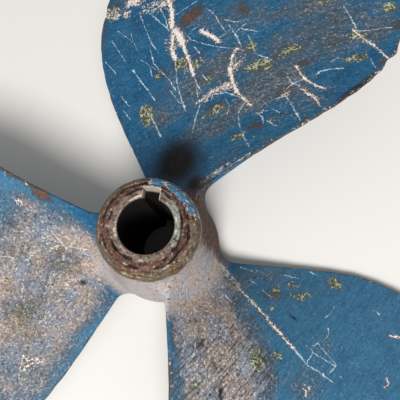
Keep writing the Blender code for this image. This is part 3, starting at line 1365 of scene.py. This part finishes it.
class Graph:
    """The nodes of one material."""

    MIX_FACTOR, MIX_A, MIX_B, MIX_RESULT = 0, 6, 7, 2
    RIDGE_CORE = 0.015  # where a ridge is at full strength, away from the noise's middle
    RING_RADIUS = 5.5  # of the ring in the noise that the hub's end is wrapped on

    def __init__(self, material: bpy.types.Material) -> None:
        """Start from the material's own Principled shader.

        Args:
            material: The material, which is given nodes.
        """
        material.use_nodes = True
        self.tree = material.node_tree
        self.surface = self.tree.nodes["Principled BSDF"]

    def node(self, kind: str, settings: dict | None = None, sockets: dict | None = None) -> bpy.types.Node:
        """Add a node: its settings first, then the values or links of its sockets.

        Args:
            kind: The node's type.
            settings: Properties by name; "stops" are a ramp's places and colours.
            sockets: Values, shades or output sockets by the input's name or number.

        Returns:
            The node.
        """
        made = self.tree.nodes.new(kind)
        for name, value in (settings or {}).items():
            if name == "stops":
                while len(made.color_ramp.elements) < len(value):
                    made.color_ramp.elements.new(1.0)
                for element, (place, colour) in zip(made.color_ramp.elements, value):
                    element.position = place
                    element.color = colour
            else:
                setattr(made, name, value)
        self.feed(made, sockets or {})
        return made

    def feed(self, node: bpy.types.Node, sockets: dict) -> None:
        """Set or link a node's inputs.

        Args:
            node: The node.
            sockets: Values, shades or output sockets by the input's name or number.
        """
        for name, value in sockets.items():
            if isinstance(value, (Shade, bpy.types.NodeSocket)):
                source = value.socket if isinstance(value, Shade) else value
                self.tree.links.new(source, node.inputs[name])
            else:
                node.inputs[name].default_value = value

    def value(self, kind: str, settings: dict, sockets: dict, output: int | str = 0) -> Shade:
        """Add a node and take one of its outputs as a value."""
        return Shade(self, self.node(kind, settings, sockets).outputs[output])

    def vector(self, operation: str, *inputs: Shade | Vector | tuple) -> Shade:
        """Work on vectors with a Vector Math node."""
        return self.value("ShaderNodeVectorMath", {"operation": operation}, dict(enumerate(inputs)))

    def measure(self, operation: str, *inputs: Shade | Vector | tuple) -> Shade:
        """Work out a length or a dot product with a Vector Math node."""
        settings = {"operation": operation}
        return self.value("ShaderNodeVectorMath", settings, dict(enumerate(inputs)), "Value")

    def scaled(self, vector: Shade | Vector | bpy.types.NodeSocket, factor: Shade | float) -> Shade:
        """Scale a vector."""
        settings = {"operation": "SCALE"}
        return self.value("ShaderNodeVectorMath", settings, {0: vector, "Scale": factor})

    @cached_property
    def place(self) -> Shade:
        """Coordinates on the casting, in millimetres."""
        return self.scaled(self.node("ShaderNodeTexCoord").outputs["Object"], 1.0 / MM)

    @cached_property
    def plan(self) -> Shade:
        """The same coordinates, laid flat."""
        return self.vector("MULTIPLY", self.place, PLAN)

    @cached_property
    def radius(self) -> Shade:
        """Distance from the shaft axis, in millimetres."""
        return self.measure("LENGTH", self.plan)

    def towards(self, turn: float) -> Shade:
        """Cosine of the angle between a point's direction from the axis and a turn from +X."""
        aim = (cos(turn), sin(turn), 0.0)
        return self.measure("DOT_PRODUCT", self.place, aim).maths("DIVIDE", self.radius)

    def ringed(self, out: Shade) -> Shade:
        """Coordinates whose noise is drawn out round the shaft axis.

        Args:
            out: Distance outwards in millimetres.

        Returns:
            The coordinates. A cloud is about 3 mm long and 1 mm wide on the hub's end.
        """
        around = self.scaled(self.vector("NORMALIZE", self.plan), self.RING_RADIUS)
        outwards = self.node("ShaderNodeCombineXYZ", {}, {"Z": out}).outputs[0]
        return self.vector("ADD", around, outwards)

    def shaken(self, shift: Shade, amount: float) -> Shade:
        """Coordinates in plan, moved by up to about a quarter of an amount in millimetres."""
        moved = self.vector("MULTIPLY_ADD", shift, (amount, amount, 0.0), self.place)
        return self.vector("MULTIPLY", moved, PLAN)

    def nearness(self, plan: Shade, lines: list[Stretch]) -> Shade:
        """Distance to the nearest of some lines, in half widths of that line.

        Args:
            plan: Coordinates in plan, in millimetres.
            lines: The lines.

        Returns:
            The distance.
        """
        nearest = None
        for line in lines:
            along = (line.end - line.start).to_3d()
            offset = self.vector("SUBTRACT", plan, line.start.to_3d())
            dot = self.measure("DOT_PRODUCT", offset, along / along.length_squared)
            foot = self.scaled(along, self.value("ShaderNodeClamp", {}, {"Value": dot}))
            gap = self.vector("SUBTRACT", offset, foot)
            reach = self.measure("LENGTH", gap) * (1.0 / line.half_width)
            nearest = reach if nearest is None else nearest.maths("MINIMUM", reach)
        return nearest

    def attribute(self, wear: Wear) -> Shade:
        """A kind of wear, as the casting's mesh holds it."""
        return self.value("ShaderNodeAttribute", {"attribute_name": wear.value}, {}, "Fac")

    def noise(self, size: float, seed: float, detail: float = 2.0, place: Shade | None = None) -> Shade:
        """Cloudy noise from 0 to 1, mostly near a half.

        Args:
            size: Size of its clouds in millimetres.
            seed: Picks another pattern of the same kind.
            detail: How many finer layers it has.
            place: Coordinates in millimetres, if not the casting's own.

        Returns:
            The noise.
        """
        settings = {"noise_dimensions": "4D"}
        place = self.place if place is None else place
        sockets = {"Vector": place, "W": seed, "Scale": 1.0 / size, "Detail": detail, "Roughness": 0.55}
        return self.value("ShaderNodeTexNoise", settings, sockets, "Fac")

    def ridges(self, size: float, seed: float, width: float) -> Shade:
        """Thin lines that wander where a noise is near its middle."""
        return (self.noise(size, seed) - 0.5).maths("ABSOLUTE").ease(width, self.RIDGE_CORE)

    def blend(self, share: Shade, first: Shade | Colour, second: Shade | Colour) -> Shade:
        """Mix two colours."""
        sockets = {self.MIX_FACTOR: share, self.MIX_A: first, self.MIX_B: second}
        return self.value("ShaderNodeMix", {"data_type": "RGBA"}, sockets, self.MIX_RESULT)

    def ramp(self, share: Shade, stops: list[tuple[float, Colour]]) -> Shade:
        """A colour for each value between 0 and 1."""
        return self.value("ShaderNodeValToRGB", {"stops": stops}, {"Fac": share})


@dataclass(frozen=True)
class PaintColours:
    """The colours of the casting's surface, from sound paint to bare bronze."""

    deep_blue: Colour = srgb(12, 68, 102)
    blue: Colour = srgb(24, 92, 128)
    faded_blue: Colour = srgb(74, 122, 150)
    dull_blue: Colour = srgb(62, 88, 108)
    dusty_blue: Colour = srgb(94, 106, 120)
    worn_cool: Colour = srgb(118, 127, 142)
    worn_warm: Colour = srgb(162, 144, 132)
    speck: Colour = srgb(202, 186, 171)
    dark_speck: Colour = srgb(34, 36, 38)
    streak: Colour = srgb(122, 134, 146)
    scratch: Colour = srgb(208, 218, 222)
    bare: Colour = srgb(232, 222, 214)
    bare_warm: Colour = srgb(206, 176, 152)
    bare_shade: Colour = srgb(86, 74, 66)
    dust_olive: Colour = srgb(66, 76, 66)
    dust_grey: Colour = srgb(84, 84, 98)
    verdigris: Colour = srgb(82, 98, 84)
    pale_verdigris: Colour = srgb(182, 190, 158)
    ochre: Colour = srgb(108, 104, 74)
    veil: Colour = srgb(70, 58, 44)
    rust: Colour = srgb(116, 64, 40)
    # near black: grime, and painted shade and shadow in the bore, the keyway and on the upper blade's root
    grime: Colour = srgb(14, 9, 7)
    edge_brown: Colour = srgb(70, 64, 58)
    seat_green: Colour = srgb(142, 154, 142)
    seat_grey: Colour = srgb(124, 108, 96)
    collar_brown: Colour = srgb(96, 66, 56)
    olive: Colour = srgb(106, 84, 56)
    olive_grey: Colour = srgb(104, 98, 82)
    cream: Colour = srgb(206, 192, 176)
    # pale barrel colours: rubbed paint brightened by a painted highlight
    barrel_cool: Colour = srgb(160, 162, 168)
    barrel_grey: Colour = srgb(174, 158, 146)
    barrel_brown: Colour = srgb(74, 40, 24)


@dataclass(frozen=True)
class BladeFinish:
    """What differs from blade to blade: its scratches, its brush lines, its fading and dust."""

    name: str
    seen: tuple[Scratch, ...] = ()
    brush_turn: float = 0.0  # degrees from +X
    brush_share: float = 0.0
    fade: float = 0.0
    dust: float = 0.0


HUB_PAINT = BladeFinish("hub_paint")
BLADE_PAINTS = {
    Blade.UPPER: BladeFinish(
        "upper_blade_paint", UPPER_SCRATCHES, brush_turn=20.0, brush_share=0.55, dust=0.5,
    ),
    Blade.LEFT: BladeFinish(
        "left_blade_paint", LEFT_SCRATCHES, brush_turn=70.0, brush_share=0.2, fade=0.5, dust=0.25,
    ),
    Blade.RIGHT: BladeFinish(
        "right_blade_paint", RIGHT_SCRATCHES, brush_turn=52.0, brush_share=0.6, fade=0.4, dust=0.25,
    ),
}


@dataclass(frozen=True)
class CrackStyle:
    """How the lines of one range of widths are drawn, in half widths of each line."""

    least: float  # narrowest half width, in millimetres
    most: float
    fray: float  # share of the noise that breaks them up
    core: float  # how far they are bare right through
    reach: float  # how far fine side cracks go

    def holds(self, line: Stretch) -> bool:
        """Whether a line is as wide as these cracks are."""
        return self.least <= line.half_width < self.most


FINEST_CRACK = 0.45  # half width in millimetres; a finer line is a scratch
WIDE_CRACK = 0.75
CRACKS = (
    CrackStyle(least=FINEST_CRACK, most=WIDE_CRACK, fray=1.0, core=0.5, reach=2.2),
    CrackStyle(least=WIDE_CRACK, most=inf, fray=0.65, core=0.85, reach=1.9),
)


@dataclass
class Coat:
    """The surface so far: its colour, its height in millimetres and its roughness."""

    graph: Graph
    colour: Shade
    height: Shade
    gloss: Shade
    tone: Shade  # what the finished colour is multiplied by

    def cover(self, share: Shade, colour: Shade | Colour, lift: float = 0.0, dull: float = 0.0) -> None:
        """Lay something over part of the surface.

        Args:
            share: How much of it shows at each point.
            colour: Its colour.
            lift: How far it stands up, in millimetres, negative for a hollow.
            dull: What it adds to the roughness.
        """
        self.colour = self.graph.blend(share, self.colour, colour)
        if lift:
            self.height = self.height + share * lift
        if dull:
            self.gloss = self.gloss + share * dull


class CastingFinish:
    """Blue paint over bronze, worn through, scratched and corroded."""

    GLEAM = 0.25  # of the Principled shader's specular level, everywhere
    BEYOND_HUB = (36.0, 52.0)  # radii in millimetres between which brush lines and fading set in
    BRUSH_LENGTH = 10.0  # of a brush line, in its widths
    SCRATCH_SHAKE = 1.5  # what shaken() moves scratches and cracks by, in millimetres
    CRACK_SHAKE = 2.4
    CRACK_DEPTH = 0.12  # in millimetres
    FLAKE_LIFT = 0.08

    def __init__(self, colours: PaintColours, hub: HubForm) -> None:
        """Keep the colours and the hub whose end is corroded."""
        self.colours = colours
        self.hub = hub

    def make(self, finish: BladeFinish, lines: list[Stretch]) -> bpy.types.Material:
        """Make the material of one blade, or of the hub.

        Args:
            finish: Its brushing, fading and dust.
            lines: Its scratches, none for the hub.

        Returns:
            The material.
        """
        material = bpy.data.materials.new(finish.name)
        graph = Graph(material)
        coat = self.paint(graph, finish)
        self.deposits(coat)
        if lines:
            self.scratches(coat, lines)
        else:
            self.hub_end(coat)
        bump = graph.node("ShaderNodeBump", {}, {"Strength": 1.0, "Distance": MM, "Height": coat.height})
        graph.feed(graph.surface, {
            "Base Color": graph.scaled(coat.colour, coat.tone), "Roughness": coat.gloss,
            "Normal": bump.outputs["Normal"], "Specular IOR Level": self.GLEAM,
        })
        return material

    def paint(self, graph: Graph, finish: BladeFinish) -> Coat:
        """Paint from deep blue to a worn grey, with grain, brush lines and specks.

        Args:
            graph: The material's nodes.
            finish: The blade's own values.

        Returns:
            The painted surface.
        """
        tint = self.colours
        blotch = graph.noise(9.0, 2.0, 4.0)
        grain = graph.noise(1.4, 3.0, 3.0)
        turned = graph.node("ShaderNodeMapping", {"vector_type": "TEXTURE"}, {
            "Vector": graph.place, "Rotation": (0.0, 0.0, radians(finish.brush_turn)),
            "Scale": (self.BRUSH_LENGTH, 1.0, self.BRUSH_LENGTH),
        })
        brushed = graph.noise(0.6, 4.0, 1.0, turned.outputs["Vector"])
        beyond = graph.radius.ease(*self.BEYOND_HUB)
        outward = beyond * finish.brush_share
        inside = graph.attribute(Wear.RIM).ease(1.5, 9.0)
        worn = graph.attribute(Wear.WORN) * (inside * 0.5 + 0.5)

        # How far each point is worn, frayed by the grain and the brush lines
        fray = (blotch - 0.5) * 0.8 + (grain - 0.5) * 0.6
        fray = fray + (brushed - 0.5) * outward * (worn * 1.1 + 0.3)
        level = (worn * 0.82 + 0.14 + fray * 0.75).maths("MULTIPLY", 1.0, clamp=True)
        colour = graph.ramp(level, [
            (0.0, tint.deep_blue), (0.22, tint.blue), (0.40, tint.dull_blue), (0.6, tint.dusty_blue),
        ])
        if finish.fade:
            faded = level.ease(0.6, 0.22) * beyond * finish.fade
            colour = graph.blend(faded, colour, tint.faded_blue)
        coat = Coat(
            graph, colour, grain * (worn * 0.2 + 0.12) + brushed * outward * 0.12,
            0.46 + grain * 0.2 + worn * 0.12, worn,
        )

        # The worn grey, brush lines, dust, and pale and dark specks, one over another
        patchy = graph.noise(11.0, 7.0, 4.0).ease(0.36, 0.62)
        coat.cover(level.ease(0.5, 0.82), graph.blend(patchy, tint.worn_cool, tint.worn_warm))
        fleck = graph.noise(0.7, 6.0, 3.0)
        pit = graph.noise(1.0, 5.0, 3.0)
        if finish.brush_share:
            coat.cover(brushed.ease(0.50, 0.66) * outward * (worn + 0.06), tint.streak)
            coat.cover(brushed.ease(0.47, 0.32) * outward * (worn * 0.6 + 0.10), tint.dark_speck)
        dusty = worn.ease(0.0, 0.26)
        if finish.dust:
            dust = (patchy * 0.12 + blotch * 0.5 + fleck * 0.5).ease(0.46, 0.62)
            dust = dust * (dusty * 0.85 + 0.15) * finish.dust
            coat.cover(dust, graph.blend(grain.ease(0.46, 0.58), tint.dust_olive, tint.dust_grey))
        share = worn * worn * 0.38 + dusty * 0.16 + 0.12
        spots = fleck * 0.55 + grain * 0.45 + dusty * 0.02 + worn * 0.03
        coat.cover(spots.ease(0.555, 0.65) * share, tint.speck)
        coat.cover((pit - dusty * 0.04 - worn * 0.02).ease(0.42, 0.28) * 0.7, tint.dark_speck, -0.1)
        light = (fleck - 0.5) * (worn * 0.8 + 0.9) + (grain - 0.5) * worn * 0.7
        light = light + (brushed - 0.5) * outward * (worn * 3.4 + 0.8)
        coat.tone = (light + 1.0).maths("MAXIMUM", 0.2)
        return coat

    def deposits(self, coat: Coat) -> None:
        """Rust stains, bare patches, green corrosion, worn edges, and grime with painted shadow.

        Args:
            coat: The surface, which is changed.
        """
        tint, graph = self.colours, coat.graph
        cloud = graph.noise(3.2, 11.0, 3.0)
        lace = graph.noise(1.3, 12.0)
        mottle = (cloud - 0.5) * 0.9 + (lace - 0.5) * 0.9

        # Rust: a brown veil, with solid rust at its heart
        stain = graph.attribute(Wear.RUST)
        coat.cover((stain + mottle * 1.4).ease(0.2, 0.8) * (stain * 0.3 + 0.5), tint.veil)
        coat.cover((stain + mottle * 1.4).ease(0.94, 1.2) * 0.8, tint.rust, 0.05, 0.1)

        # The worn edge, brown with pale chips
        rim = graph.attribute(Wear.RIM) + (cloud - 0.5) * 5.0
        coat.cover(rim.ease(1.3, 0.1) * 0.8, graph.blend(lace.ease(0.58, 0.68), tint.edge_brown, tint.cream))

        # Green corrosion: a dull bloom round a pale crust
        fine = graph.noise(0.9, 14.0)
        bloom = graph.attribute(Wear.VERDIGRIS)
        coat.cover((bloom + mottle * 0.6).ease(0.1, 0.9) * 0.6, tint.verdigris)
        coat.cover((bloom + mottle * 1.8).ease(0.4, 0.62) * 0.5, tint.veil)
        crust = (bloom + mottle * 2.2 + (fine - 0.5) * 1.2).ease(0.64, 0.84)
        shade = graph.blend(cloud.ease(0.54, 0.42), tint.pale_verdigris, tint.ochre)
        shade = graph.blend(fine.ease(0.56, 0.45), shade, tint.veil)
        coat.cover(crust * 0.8, shade, 0.15, 0.25)

        # Bare metal: peeled patches, with cracks and flecks round them
        peeled = graph.attribute(Wear.BARE)
        ridge = graph.ridges(2.6, 13.0, 0.045)
        web = (peeled + (lace - 0.5) * 1.2).ease(0.3, 0.5) * ridge
        flecks = (peeled + (fine - 0.5) * 3.0).ease(0.72, 1.0)
        laid = peeled + mottle * 1.4
        coat.cover((peeled + mottle).ease(0.3, 0.7) * 0.65, tint.bare_shade)
        shade = graph.blend(laid.ease(0.82, 0.98), tint.bare, tint.bare_warm)
        shade = graph.blend(fine.ease(0.46, 0.34), shade, tint.bare_shade)
        coat.cover(laid.ease(0.72, 0.80).maths("MAXIMUM", web).maths("MAXIMUM", flecks), shade, -0.1)

        # Grime, and the painted shadow of the hub on the upper blade's root, over all of it
        soot_and_shadow = graph.attribute(Wear.GRIME)
        coat.cover(soot_and_shadow * ((cloud - 0.5) * 0.4 + 1.0), tint.grime, 0.0, 0.2)

    def scratches(self, coat: Coat, lines: list[Stretch]) -> None:
        """Fine scratches and wider cracks in the paint of the pressure side.

        Args:
            coat: The surface, which is changed.
            lines: The blade's own lines.
        """
        tint, graph = self.colours, coat.graph
        jitter = graph.node("ShaderNodeTexNoise", {}, {"Vector": graph.place, "Scale": 0.7, "Detail": 2.0})
        shift = graph.vector("SUBTRACT", jitter.outputs["Color"], (0.5, 0.5, 0.5))
        facing = graph.node("ShaderNodeNewGeometry").outputs["Normal"]
        facing = graph.value("ShaderNodeSeparateXYZ", {}, {0: facing}, "Z").ease(0.1, 0.4)
        lace = graph.noise(1.5, 21.0)
        breaks = graph.noise(4.0, 22.0, 3.0)
        dots = graph.noise(1.0, 23.0, 1.0)

        # Scratches, pale and broken up
        fine = [line for line in lines if line.half_width < FINEST_CRACK]
        near = graph.nearness(graph.shaken(shift, self.SCRATCH_SHAKE), fine) + (breaks - 0.5) * 4.0
        faint = dots.ease(0.38, 0.62) * 0.7 + 0.3
        coat.cover(near.ease(1.2, 0.1) * facing * faint, tint.scratch)

        # Cracks: a dark border, then bare metal with side cracks, cut into the paint
        ridge = graph.ridges(2.0, 24.0, 0.04)
        for style in CRACKS:
            wide = [line for line in lines if style.holds(line)]
            if not wide:
                continue
            near = graph.nearness(graph.shaken(shift, self.CRACK_SHAKE), wide)
            near = near + (breaks - 0.5) * (3.4 * style.fray)
            band = near + (lace - 0.5) * (2.4 * style.fray)
            coat.cover(band.ease(style.reach + 0.6, style.core + 0.5) * facing * 0.62, tint.bare_shade)
            core = band.ease(style.core + 0.12, style.core - 0.1) * facing
            web = ridge * near.ease(style.reach, style.core + 0.4) * facing
            cut = (core * dots.ease(0.24, 0.34)).maths("MAXIMUM", web * dots.ease(0.32, 0.42))
            coat.cover(cut, graph.blend(lace.ease(0.54, 0.70), tint.bare, tint.bare_warm))
            coat.height = coat.height - core * self.CRACK_DEPTH

    def hub_end(self, coat: Coat) -> None:
        """The hub: bands of corrosion on its aft end, flakes of blue paint, and painted shade in the bore
        and keyway.

        Args:
            coat: The surface, which is changed.
        """
        tint, hub, graph = self.colours, self.hub, coat.graph
        radius = graph.radius
        axes = graph.node("ShaderNodeSeparateXYZ", {}, {0: graph.place})
        x, y, z = (Shade(graph, socket) for socket in axes.outputs)
        depth = hub.aft_face / MM - z
        cloud = graph.noise(4.0, 31.0, 4.0)
        lace = graph.noise(1.0, 32.0, 4.0, graph.ringed(radius + depth * 0.7))
        mottle = cloud - 0.5 + (lace - 0.5) * 0.8
        hollow = graph.attribute(Wear.HOLLOW)

        # The flank: brown on one side, and pale on the side towards the key light, partly rubbed paint and
        # partly painted highlight
        barrel = radius.ease(35.0, 29.0) * 0.94
        brown = graph.towards(BROWN_TURN) + mottle * 0.3
        # where grime and painted shadow lie, the flank is not stained brown
        soot_and_shadow = graph.attribute(Wear.GRIME)
        fine = graph.noise(0.9, 33.0)
        share = brown.ease(0.72, 0.88) * barrel * depth.ease(8.0, 15.0) * (1.0 - soot_and_shadow)
        coat.cover(share, graph.blend(fine.ease(0.52, 0.66), tint.barrel_brown, tint.seat_grey), 0.0, 0.2)
        pale = graph.blend(cloud.ease(0.40, 0.56), tint.barrel_cool, tint.barrel_grey)
        pale = graph.blend(fine.ease(0.44, 0.30), pale, tint.barrel_brown)
        rubbed_and_lit = graph.towards(PALE_LIT_TURN) + mottle * 0.4
        coat.cover(rubbed_and_lit.ease(0.15, 0.42) * barrel, pale)

        # The aft end: its collar, its olive rim, then the nut seat with grit and hollows
        coat.cover((depth + mottle * 10.0).ease(8.6, 5.6), tint.collar_brown, 0.3, 0.1)
        band = radius + mottle * 3.0
        end = depth.ease(7.0, 5.0)
        rim = graph.blend(cloud.ease(0.44, 0.56), tint.olive, tint.olive_grey)
        coat.cover(band.ease(15.6, 16.8) * end * 0.7, rim)
        green = (graph.towards(SEAT_GREEN_TURN) + mottle).ease(0.64, 0.90) * 0.85
        seat = band.ease(13.6, 12.6) * end
        coat.cover(seat * 0.8, graph.blend(green, tint.seat_grey, tint.seat_green), -0.2)
        grit = lace * 0.55 + fine * 0.45
        coat.cover(grit.ease(0.54, 0.64) * end * 0.55, tint.cream)
        coat.cover((grit - hollow * 0.1).ease(0.46, 0.36) * end * 0.7, tint.grime, -0.15)
        coat.cover(hollow.ease(0.42, 0.80) * end * 0.85, tint.grime)
        coat.cover(radius.ease(11.7, 11.1) * (mottle + 0.5).ease(0.54, 0.66) * end * 0.8, tint.cream)

        # Flakes of blue paint, each with a pale border
        flakes = graph.attribute(Wear.FLAKES)
        flaked = flakes + mottle * flakes.ease(0.0, 0.3) * 2.0
        border = graph.blend(fine.ease(0.56, 0.44), tint.cream, tint.collar_brown)
        coat.cover(flaked.ease(0.36, 0.46) * 0.95, border)
        paint = graph.blend(lace.ease(0.4, 0.6), tint.blue, tint.faded_blue)
        left = flaked.ease(0.56, 0.60) * lace.ease(0.40, 0.46) * fine.ease(0.40, 0.45)
        coat.cover(left, paint, self.FLAKE_LIFT)

        # The keyway and the bore: the keyway's floor pale at the mouth, then painted shade with some grime
        # deeper inside both
        wall = radius + (z - hub.forward_face / MM) * (hub.taper / 2) - hub.bore_diameter / 2 / MM
        key = wall.ease(4.4, 4.0) * x.maths("ABSOLUTE").ease(3.45, 3.25) * y.ease(0.0, 2.0)
        coat.cover(key * 0.9, tint.cream)
        coat.cover(key * (depth + mottle * 4.0).ease(3.0, 7.5), tint.grime, 0.0, 0.3)
        # painted shade, darkening the bore from just below its mouth
        bore = wall.ease(0.6, 0.2)
        coat.cover(bore * (depth + mottle * 3.0).ease(-1.0, 3.0), tint.grime, 0.0, 0.3)


@dataclass
class Studio:
    """A plain pale floor under soft light from the lower side of the picture."""

    floor_level: float
    floor_radius: float = 4.0
    floor_segments: int = 96
    floor_colour: Colour = srgb(222, 218, 212)
    floor_roughness: float = 0.8
    key_direction: float = radians(-81.5)  # from +X, the lower side of the picture
    key_elevation: float = radians(58.0)
    key_distance: float = 1.2
    key_size: float = 0.55
    key_power: float = 17.0
    sky_colour: Colour = srgb(244, 247, 250)
    sky_strength: float = 0.42

    def build(self) -> None:
        """Add floor, key light and even surrounding light."""
        shape = bmesh.new()
        bmesh.ops.create_circle(shape, cap_ends=True, segments=self.floor_segments, radius=self.floor_radius)
        bmesh.ops.translate(shape, verts=shape.verts, vec=(0.0, 0.0, self.floor_level))
        floor = to_object(shape, "floor")
        material = bpy.data.materials.new("pale_floor")
        graph = Graph(material)
        graph.feed(graph.surface, {"Base Color": self.floor_colour, "Roughness": self.floor_roughness})
        floor.data.materials.append(material)
        self.key()
        self.sky()
        bpy.context.scene.view_settings.view_transform = "Standard"

    def key(self) -> None:
        """Add the soft key light, aimed at the hub."""
        away = Vector((
            cos(self.key_direction) * cos(self.key_elevation),
            sin(self.key_direction) * cos(self.key_elevation),
            sin(self.key_elevation),
        ))
        lamp = bpy.data.lights.new("key", "AREA")
        lamp.shape = "DISK"
        lamp.size = self.key_size
        lamp.energy = self.key_power
        light = add_object("key", lamp)
        light.location = away * self.key_distance
        light.rotation_mode = "QUATERNION"
        light.rotation_quaternion = away.to_track_quat("Z", "Y")

    def sky(self) -> None:
        """Surround the scene with an even, faintly cool light."""
        world = bpy.data.worlds.new("studio")
        world.use_nodes = True
        background = world.node_tree.nodes["Background"]
        background.inputs["Color"].default_value = self.sky_colour
        background.inputs["Strength"].default_value = self.sky_strength
        bpy.context.scene.world = world


def dress(body: bpy.types.Object, casting: CastPropeller, wear: WearMap) -> None:
    """Give the hub and each blade its own material.

    Args:
        body: The casting's object.
        casting: Its sizes.
        wear: Its wear.
    """
    painter = CastingFinish(PaintColours(), casting.hub)
    for blade, finish in BLADE_PAINTS.items():
        lines = wear.lines(finish.seen) + wear.hidden_lines(blade)
        body.data.materials.append(painter.make(finish, lines))
        log.info("%s: %d stretches of scratch", finish.name, len(lines))
    body.data.materials.append(painter.make(HUB_PAINT, []))
    root = casting.hub.forward_radius + casting.blades.root_fillet
    for face in body.data.polygons:
        if hypot(face.center.x, face.center.y) < root:
            face.material_index = len(Blade)
            continue
        angle = atan2(face.center.y, face.center.x)
        face.material_index = round((angle - casting.blades.first_angle) / tau * len(Blade)) % len(Blade)


def main() -> None:
    """Build the propeller in its studio."""
    logging.basicConfig(level=logging.INFO, format="%(name)s: %(message)s")
    low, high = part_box(CASTING)
    view = Viewpoint(aft_face=high.z)
    view.create()
    Studio(floor_level=low.z).build()
    hub = HubForm(aft_face=high.z, forward_face=low.z)
    casting = CastPropeller(hub, BladeForm(hub, nicks=NICKS))
    body = casting.build()
    log.info("%s: %d faces", body.name, len(body.data.polygons))
    shape = bmesh.new()
    shape.from_mesh(body.data)
    tree = BVHTree.FromBMesh(shape)
    shape.free()
    wear = WearMap(view, casting, tree)
    wear.paint(body)
    dress(body, casting, wear)
    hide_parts(CASTING)
    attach(body, next(iter(frame["bodies"])))


if __name__ == "__main__":
    main()
